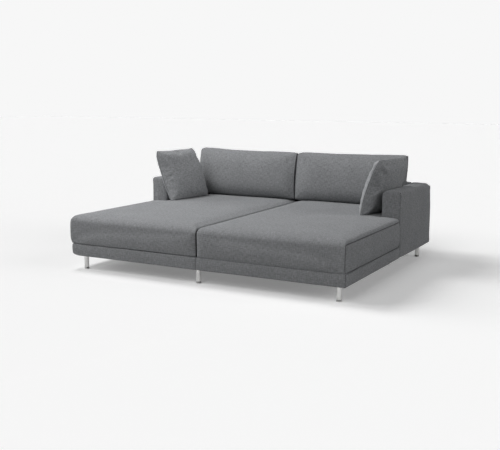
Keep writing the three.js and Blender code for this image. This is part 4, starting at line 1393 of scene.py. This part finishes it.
PILLOW_SEAM = (0.003, 0.0015)
PILLOW_RIPPLE = 0.006
PILLOW_RIPPLE_SCALE = (6.0, 6.0, 3.0)
PILLOW_CELL = 0.01
PILLOW_RISE = 0.446
PILLOW_SPREAD = 1.02
PILLOW_SINK = 0.004
PILLOW_PLACES = {
    "left": (0.104, (0.505, 0.325, 0.054), (0.648, 0.346, -0.046)),
    "right": (0.146, (0.610, 0.306, -0.055), (0.383, 0.175, 0.0)),
}
# Painted light: the pillows' cloth is the sofa's cloth made about a quarter paler, standing for the extra
# light that falls on them.
pillow_cloth_painted_lighter = woven("pillow_cloth_painted_lighter", (0.165, 0.17, 0.176), (0.36, 0.367, 0.377), 1.3)

pillow_mesh = crate(
    [((-PILLOW_SIZE / 2, 0.0), (PILLOW_SIZE / 2, PILLOW_SIZE))],
    (-PILLOW_EDGE / 2, PILLOW_EDGE / 2),
    (
        cuts_between(-PILLOW_SIZE / 2, PILLOW_SIZE / 2, PILLOW_CELL),
        cuts_between(0.0, PILLOW_SIZE, PILLOW_CELL),
        (0.0,),
    ),
    0,
)
pillow_grid = [vertex.co.copy() for vertex in pillow_mesh.verts]
panel = pillow_mesh.faces.layers.int["panel"]
for face in pillow_mesh.faces:
    face[panel] = 1 if face.calc_center_median().z > 0 else 0
for vertex in pillow_mesh.verts:
    point = vertex.co.copy()
    across = 1 - abs(2 * point.x / PILLOW_SIZE)
    upwards = 1 - abs(2 * point.y / PILLOW_SIZE - 1)
    swell = (math.sin(math.pi / 2 * across) * math.sin(math.pi / 2 * upwards)) ** PILLOW_SLACKNESS
    rise = (PILLOW_HALF_THICKNESS - PILLOW_EDGE / 2) * swell
    vertex.co.z += math.copysign(rise, point.z) if abs(point.z) > MERGE else 0.0

inflate(pillow_mesh, lambda point: 0.0, pressure=7.0, cap=0.03, shrink=0.04, bending=0.1)
fit(
    pillow_mesh,
    Vector((-PILLOW_SIZE / 2, 0.0, -PILLOW_HALF_THICKNESS)),
    Vector((PILLOW_SIZE / 2, PILLOW_SIZE, PILLOW_HALF_THICKNESS)),
)


def evened(mesh, axis, ends, draw_in):
    """Moves each row of points along an axis so that its ends lie on slightly drawn-in sides."""
    rows = {}
    for vertex, place in zip(mesh.verts, pillow_grid):
        rows.setdefault(round(place[1 - axis], 5), []).append((vertex, place[axis]))
    for spot, row in rows.items():
        share = (spot - ends[1 - axis][0]) / (ends[1 - axis][1] - ends[1 - axis][0])
        drawn = draw_in * (1 - abs(2 * share - 1) ** 4)
        reach = []
        for end in ends[axis]:
            on_end = [vertex.co[axis] for vertex, place in row if abs(place - end) < MERGE]
            reach.append(sum(on_end) / len(on_end))
        for vertex, _ in row:
            way = (vertex.co[axis] - reach[0]) / (reach[1] - reach[0])
            low, high = ends[axis][0] + drawn, ends[axis][1] - drawn
            vertex.co[axis] = low + way * (high - low)


pillow_ends = ((-PILLOW_SIZE / 2, PILLOW_SIZE / 2), (0.0, PILLOW_SIZE))
evened(pillow_mesh, 0, pillow_ends, PILLOW_DRAW_IN)
evened(pillow_mesh, 1, pillow_ends, PILLOW_DRAW_IN)
for vertex, place in zip(pillow_mesh.verts, pillow_grid):
    sides = (1 if place.x > 0 else -1, 1 if place.y > PILLOW_SIZE / 2 else -1)
    inwards = (PILLOW_SIZE / 2 - abs(place.x), min(place.y, PILLOW_SIZE - place.y))
    ear = fade(inwards[0] + inwards[1], PILLOW_EAR_REACH) ** 2
    if max(inwards) < PILLOW_CORNER:
        moved = round_off(*inwards, PILLOW_CORNER)
        vertex.co.x -= sides[0] * (moved[0] - inwards[0])
        vertex.co.y -= sides[1] * (moved[1] - inwards[1])
    vertex.co.x += sides[0] * PILLOW_EAR * ear
    vertex.co.y += sides[1] * PILLOW_EAR * ear


def pucker(mesh, way):
    """Folds that run from the corners towards the middle, and fine gathers along the sewn edges."""
    mesh.normal_update()
    for vertex in mesh.verts:
        inwards = (
            PILLOW_SIZE / 2 - abs(vertex.co.x),
            PILLOW_SIZE / 2 - abs(vertex.co.y - PILLOW_SIZE / 2),
        )
        corner = 2 * (vertex.co.x > 0) + (vertex.co.y > PILLOW_SIZE / 2)
        away = math.hypot(*inwards)
        turn = math.atan2(max(0.0, inwards[1]), max(MERGE, inwards[0]))
        spot = (vertex.co.x * PILLOW_WANDER_SCALE, vertex.co.y * PILLOW_WANDER_SCALE, way * 4.0)
        wander = noise.noise(Vector(spot))
        fold = math.sin(PILLOW_FOLD_WAVES * turn + 2.1 * corner + 2.5 * wander)
        reach = math.exp(-(((away - PILLOW_FOLD_PLACE) / PILLOW_FOLD_REACH) ** 2))
        along = inwards[0] - inwards[1]
        gather = noise.noise(Vector((along * PILLOW_GATHER_SCALE, corner * 5.0, way * 3.0)))
        edge = math.exp(-min(inwards) / PILLOW_GATHER_REACH)
        strong = PILLOW_FOLDS[corner] if way > 0 else PILLOW_FAINT_FOLDS
        height = PILLOW_PUCKER * (strong * fold * reach + PILLOW_GATHER * gather * edge)
        calm = min(1.0, min(inwards) / PILLOW_CALM_REACH + PILLOW_CALM_SHARE)
        vertex.co += vertex.normal * height * calm


for side, sign in SIDES.items():
    forward, near, far = PILLOW_PLACES[side]
    pillow = pillow_mesh.copy()
    sew(pillow, *PILLOW_SEAM)
    ripple(pillow, PILLOW_RIPPLE, PILLOW_RIPPLE_SCALE, Vector((sign * 17.0, 3.0, 0.0)))
    pucker(pillow, sign)
    for vertex in pillow.verts:
        along = (vertex.co.x + PILLOW_SIZE / 2) / PILLOW_SIZE
        rise = vertex.co.y / PILLOW_SIZE
        outs, slopes = [], []
        for inset, lean, sag in (near, far):
            outs.append(arm_high.x + PILLOW_SIZE * (lean * rise + 4 * sag * rise * (1 - rise) - inset))
            slopes.append(PILLOW_SIZE * (lean + 4 * sag * (1 - 2 * rise)) / PILLOW_RISE)
        tilt = math.atan(slopes[0] + (slopes[1] - slopes[0]) * along)
        out = outs[0] + (outs[1] - outs[0]) * along
        vertex.co = Vector((
            out + vertex.co.z * math.cos(tilt),
            arm_low.y - forward * PILLOW_SIZE + (vertex.co.x + PILLOW_SIZE / 2) * PILLOW_SPREAD,
            seat_top - PILLOW_SINK + PILLOW_RISE * rise - vertex.co.z * math.sin(tilt),
        ))
    bmesh.ops.recalc_face_normals(pillow, faces=pillow.faces[:])
    if sign < 0:
        mirrored(pillow)
    keep_off(pillow, f"seat_cushion_{side}", f"arm_{side}")
    throw = rounded_piece(pillow, f"pillow_{side}", pillow_cloth_painted_lighter)
    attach(throw, f"pillow_{side}")
    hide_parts(f"pillow_cover_{side}", f"pillow_insert_{side}")


# The studio. A pale floor, three broad distant lamps, and two ball lamps up on the left, which
# together light the middle of the floor at about 1. The camera sees a painted pool of light on the
# floor along the front edge, which stands for light that spills under the sofa.
FLOOR_REACH = 30.0
BACKGROUND = 0.93
FLOOR_GLOW = 0.22
FLOOR_PAINTED_POOL = 0.4
FLOOR_POOL_Y = -0.74
FLOOR_POOL_REACH = 0.42
FLOOR_POOL_ENDS = ((1.1, 0.7), (-1.3, -0.95))
FLOOR_ALBEDO = 0.4
SUN_SPREAD = 36
BALL_RADIUS = 0.8
SUNS = {
    "left": ((-2.0, -0.2, 1.0), 0.41),
    "front": ((0.0, -1.2, 1.0), 0.29),
    "right": ((3.0, 0.5, 1.2), 0.32),
}
BALLS = {"high": ((-2.0, -0.5, 4.0), 8.5), "near": ((-3.0, -3.5, 3.5), 6.1)}


def mirrored_or_seen(start):
    """1 on what the camera sees, straight or in a mirror, and 0 on what only lights the sofa."""
    seen = start.node("LightPath", {}, {}, 0)
    shine = start.node("LightPath", {}, {}, 3)
    return seen.maths("MAXIMUM", seen, shine)


def studio_floor():
    """A matt floor. The camera sees part of its paleness as a glow, which lightens the shadow, and a
    painted pool of light along the sofa's front edge.
    """
    sockets = {"Roughness": 1.0, "Specular IOR Level": 0.0, "Emission Color": (1.0, 1.0, 1.0, 1.0)}
    material, start = material_with("studio_floor", sockets)
    seen = mirrored_or_seen(start)
    place = start.node("TexCoord", {}, {}, 3)
    lit = sum(share * Vector(direction).normalized().z for direction, share in SUNS.values())
    for spot, share in BALLS.values():
        distance = place.node("VectorMath", {"operation": "DISTANCE"}, {0: place, 1: spot}, 1)
        lit = lit + distance ** -3 * (share * spot[2])
    across, deep = place.axes()
    # Painted light: the floor's colour is raised in a pool along the sofa's front edge, where light spills
    # under it.
    aside = deep - FLOOR_POOL_Y
    painted_pool = aside.maths("ABSOLUTE", aside, 0.0).between(FLOOR_POOL_REACH, 0.0)
    for outside, inside in FLOOR_POOL_ENDS:
        painted_pool = painted_pool * across.between(outside, inside)
    matt = lit ** -1 * (BACKGROUND - FLOOR_GLOW) * (1 + painted_pool ** 1.5 * FLOOR_PAINTED_POOL)
    seen.colours((*[FLOOR_ALBEDO] * 3, 1), matt).feeds("Base Color")
    (seen * FLOOR_GLOW).feeds("Emission Strength")
    return material


floor_mesh = bmesh.new()
bmesh.ops.create_grid(floor_mesh, x_segments=1, y_segments=1, size=FLOOR_REACH)
floor = piece_from(floor_mesh, "floor", [studio_floor()])

world = bpy.data.worlds.new("studio")
bpy.context.scene.world = world
world.use_nodes = True
background = world.node_tree.nodes["Background"]
background.inputs["Color"].default_value = (1.0, 1.0, 1.0, 1.0)
bright = mirrored_or_seen(Pattern(world.node_tree)) * BACKGROUND
world.node_tree.links.new(bright.socket, background.inputs["Strength"])

for name, (direction, share) in SUNS.items():
    data = bpy.data.lights.new(name, "SUN")
    data.energy = math.pi * share
    data.angle = math.radians(SUN_SPREAD)
    made = bpy.data.objects.new(name, data)
    made.rotation_euler = Vector(direction).to_track_quat("Z", "Y").to_euler()
    bpy.context.scene.collection.objects.link(made)
for name, (spot, share) in BALLS.items():
    data = bpy.data.lights.new(name, "POINT")
    data.energy = 4 * math.pi ** 2 * share
    data.shadow_soft_size = BALL_RADIUS
    made = bpy.data.objects.new(name, data)
    made.location = spot
    bpy.context.scene.collection.objects.link(made)


# The camera. It stands at the photograph's height and angle, in front of the sofa and to its right,
# and looks at a point between the two seat cushions.
TARGET = Vector((0.005, -0.1375, 0.331))
AZIMUTH, ELEVATION = math.radians(28.70), math.radians(9.33)
DISTANCE = 6.515
LENS = 58.41

camera_data = bpy.data.cameras.new("camera")
camera_data.lens = LENS
camera_data.sensor_width = 36.0
camera = bpy.data.objects.new("camera", camera_data)
away = Vector((
    math.sin(AZIMUTH) * math.cos(ELEVATION),
    -math.cos(AZIMUTH) * math.cos(ELEVATION),
    math.sin(ELEVATION),
))
camera.location = TARGET + away * DISTANCE
camera.rotation_euler = away.to_track_quat("Z", "Y").to_euler()
bpy.context.scene.collection.objects.link(camera)
bpy.context.scene.camera = camera
bpy.context.scene.view_settings.view_transform = "Standard"
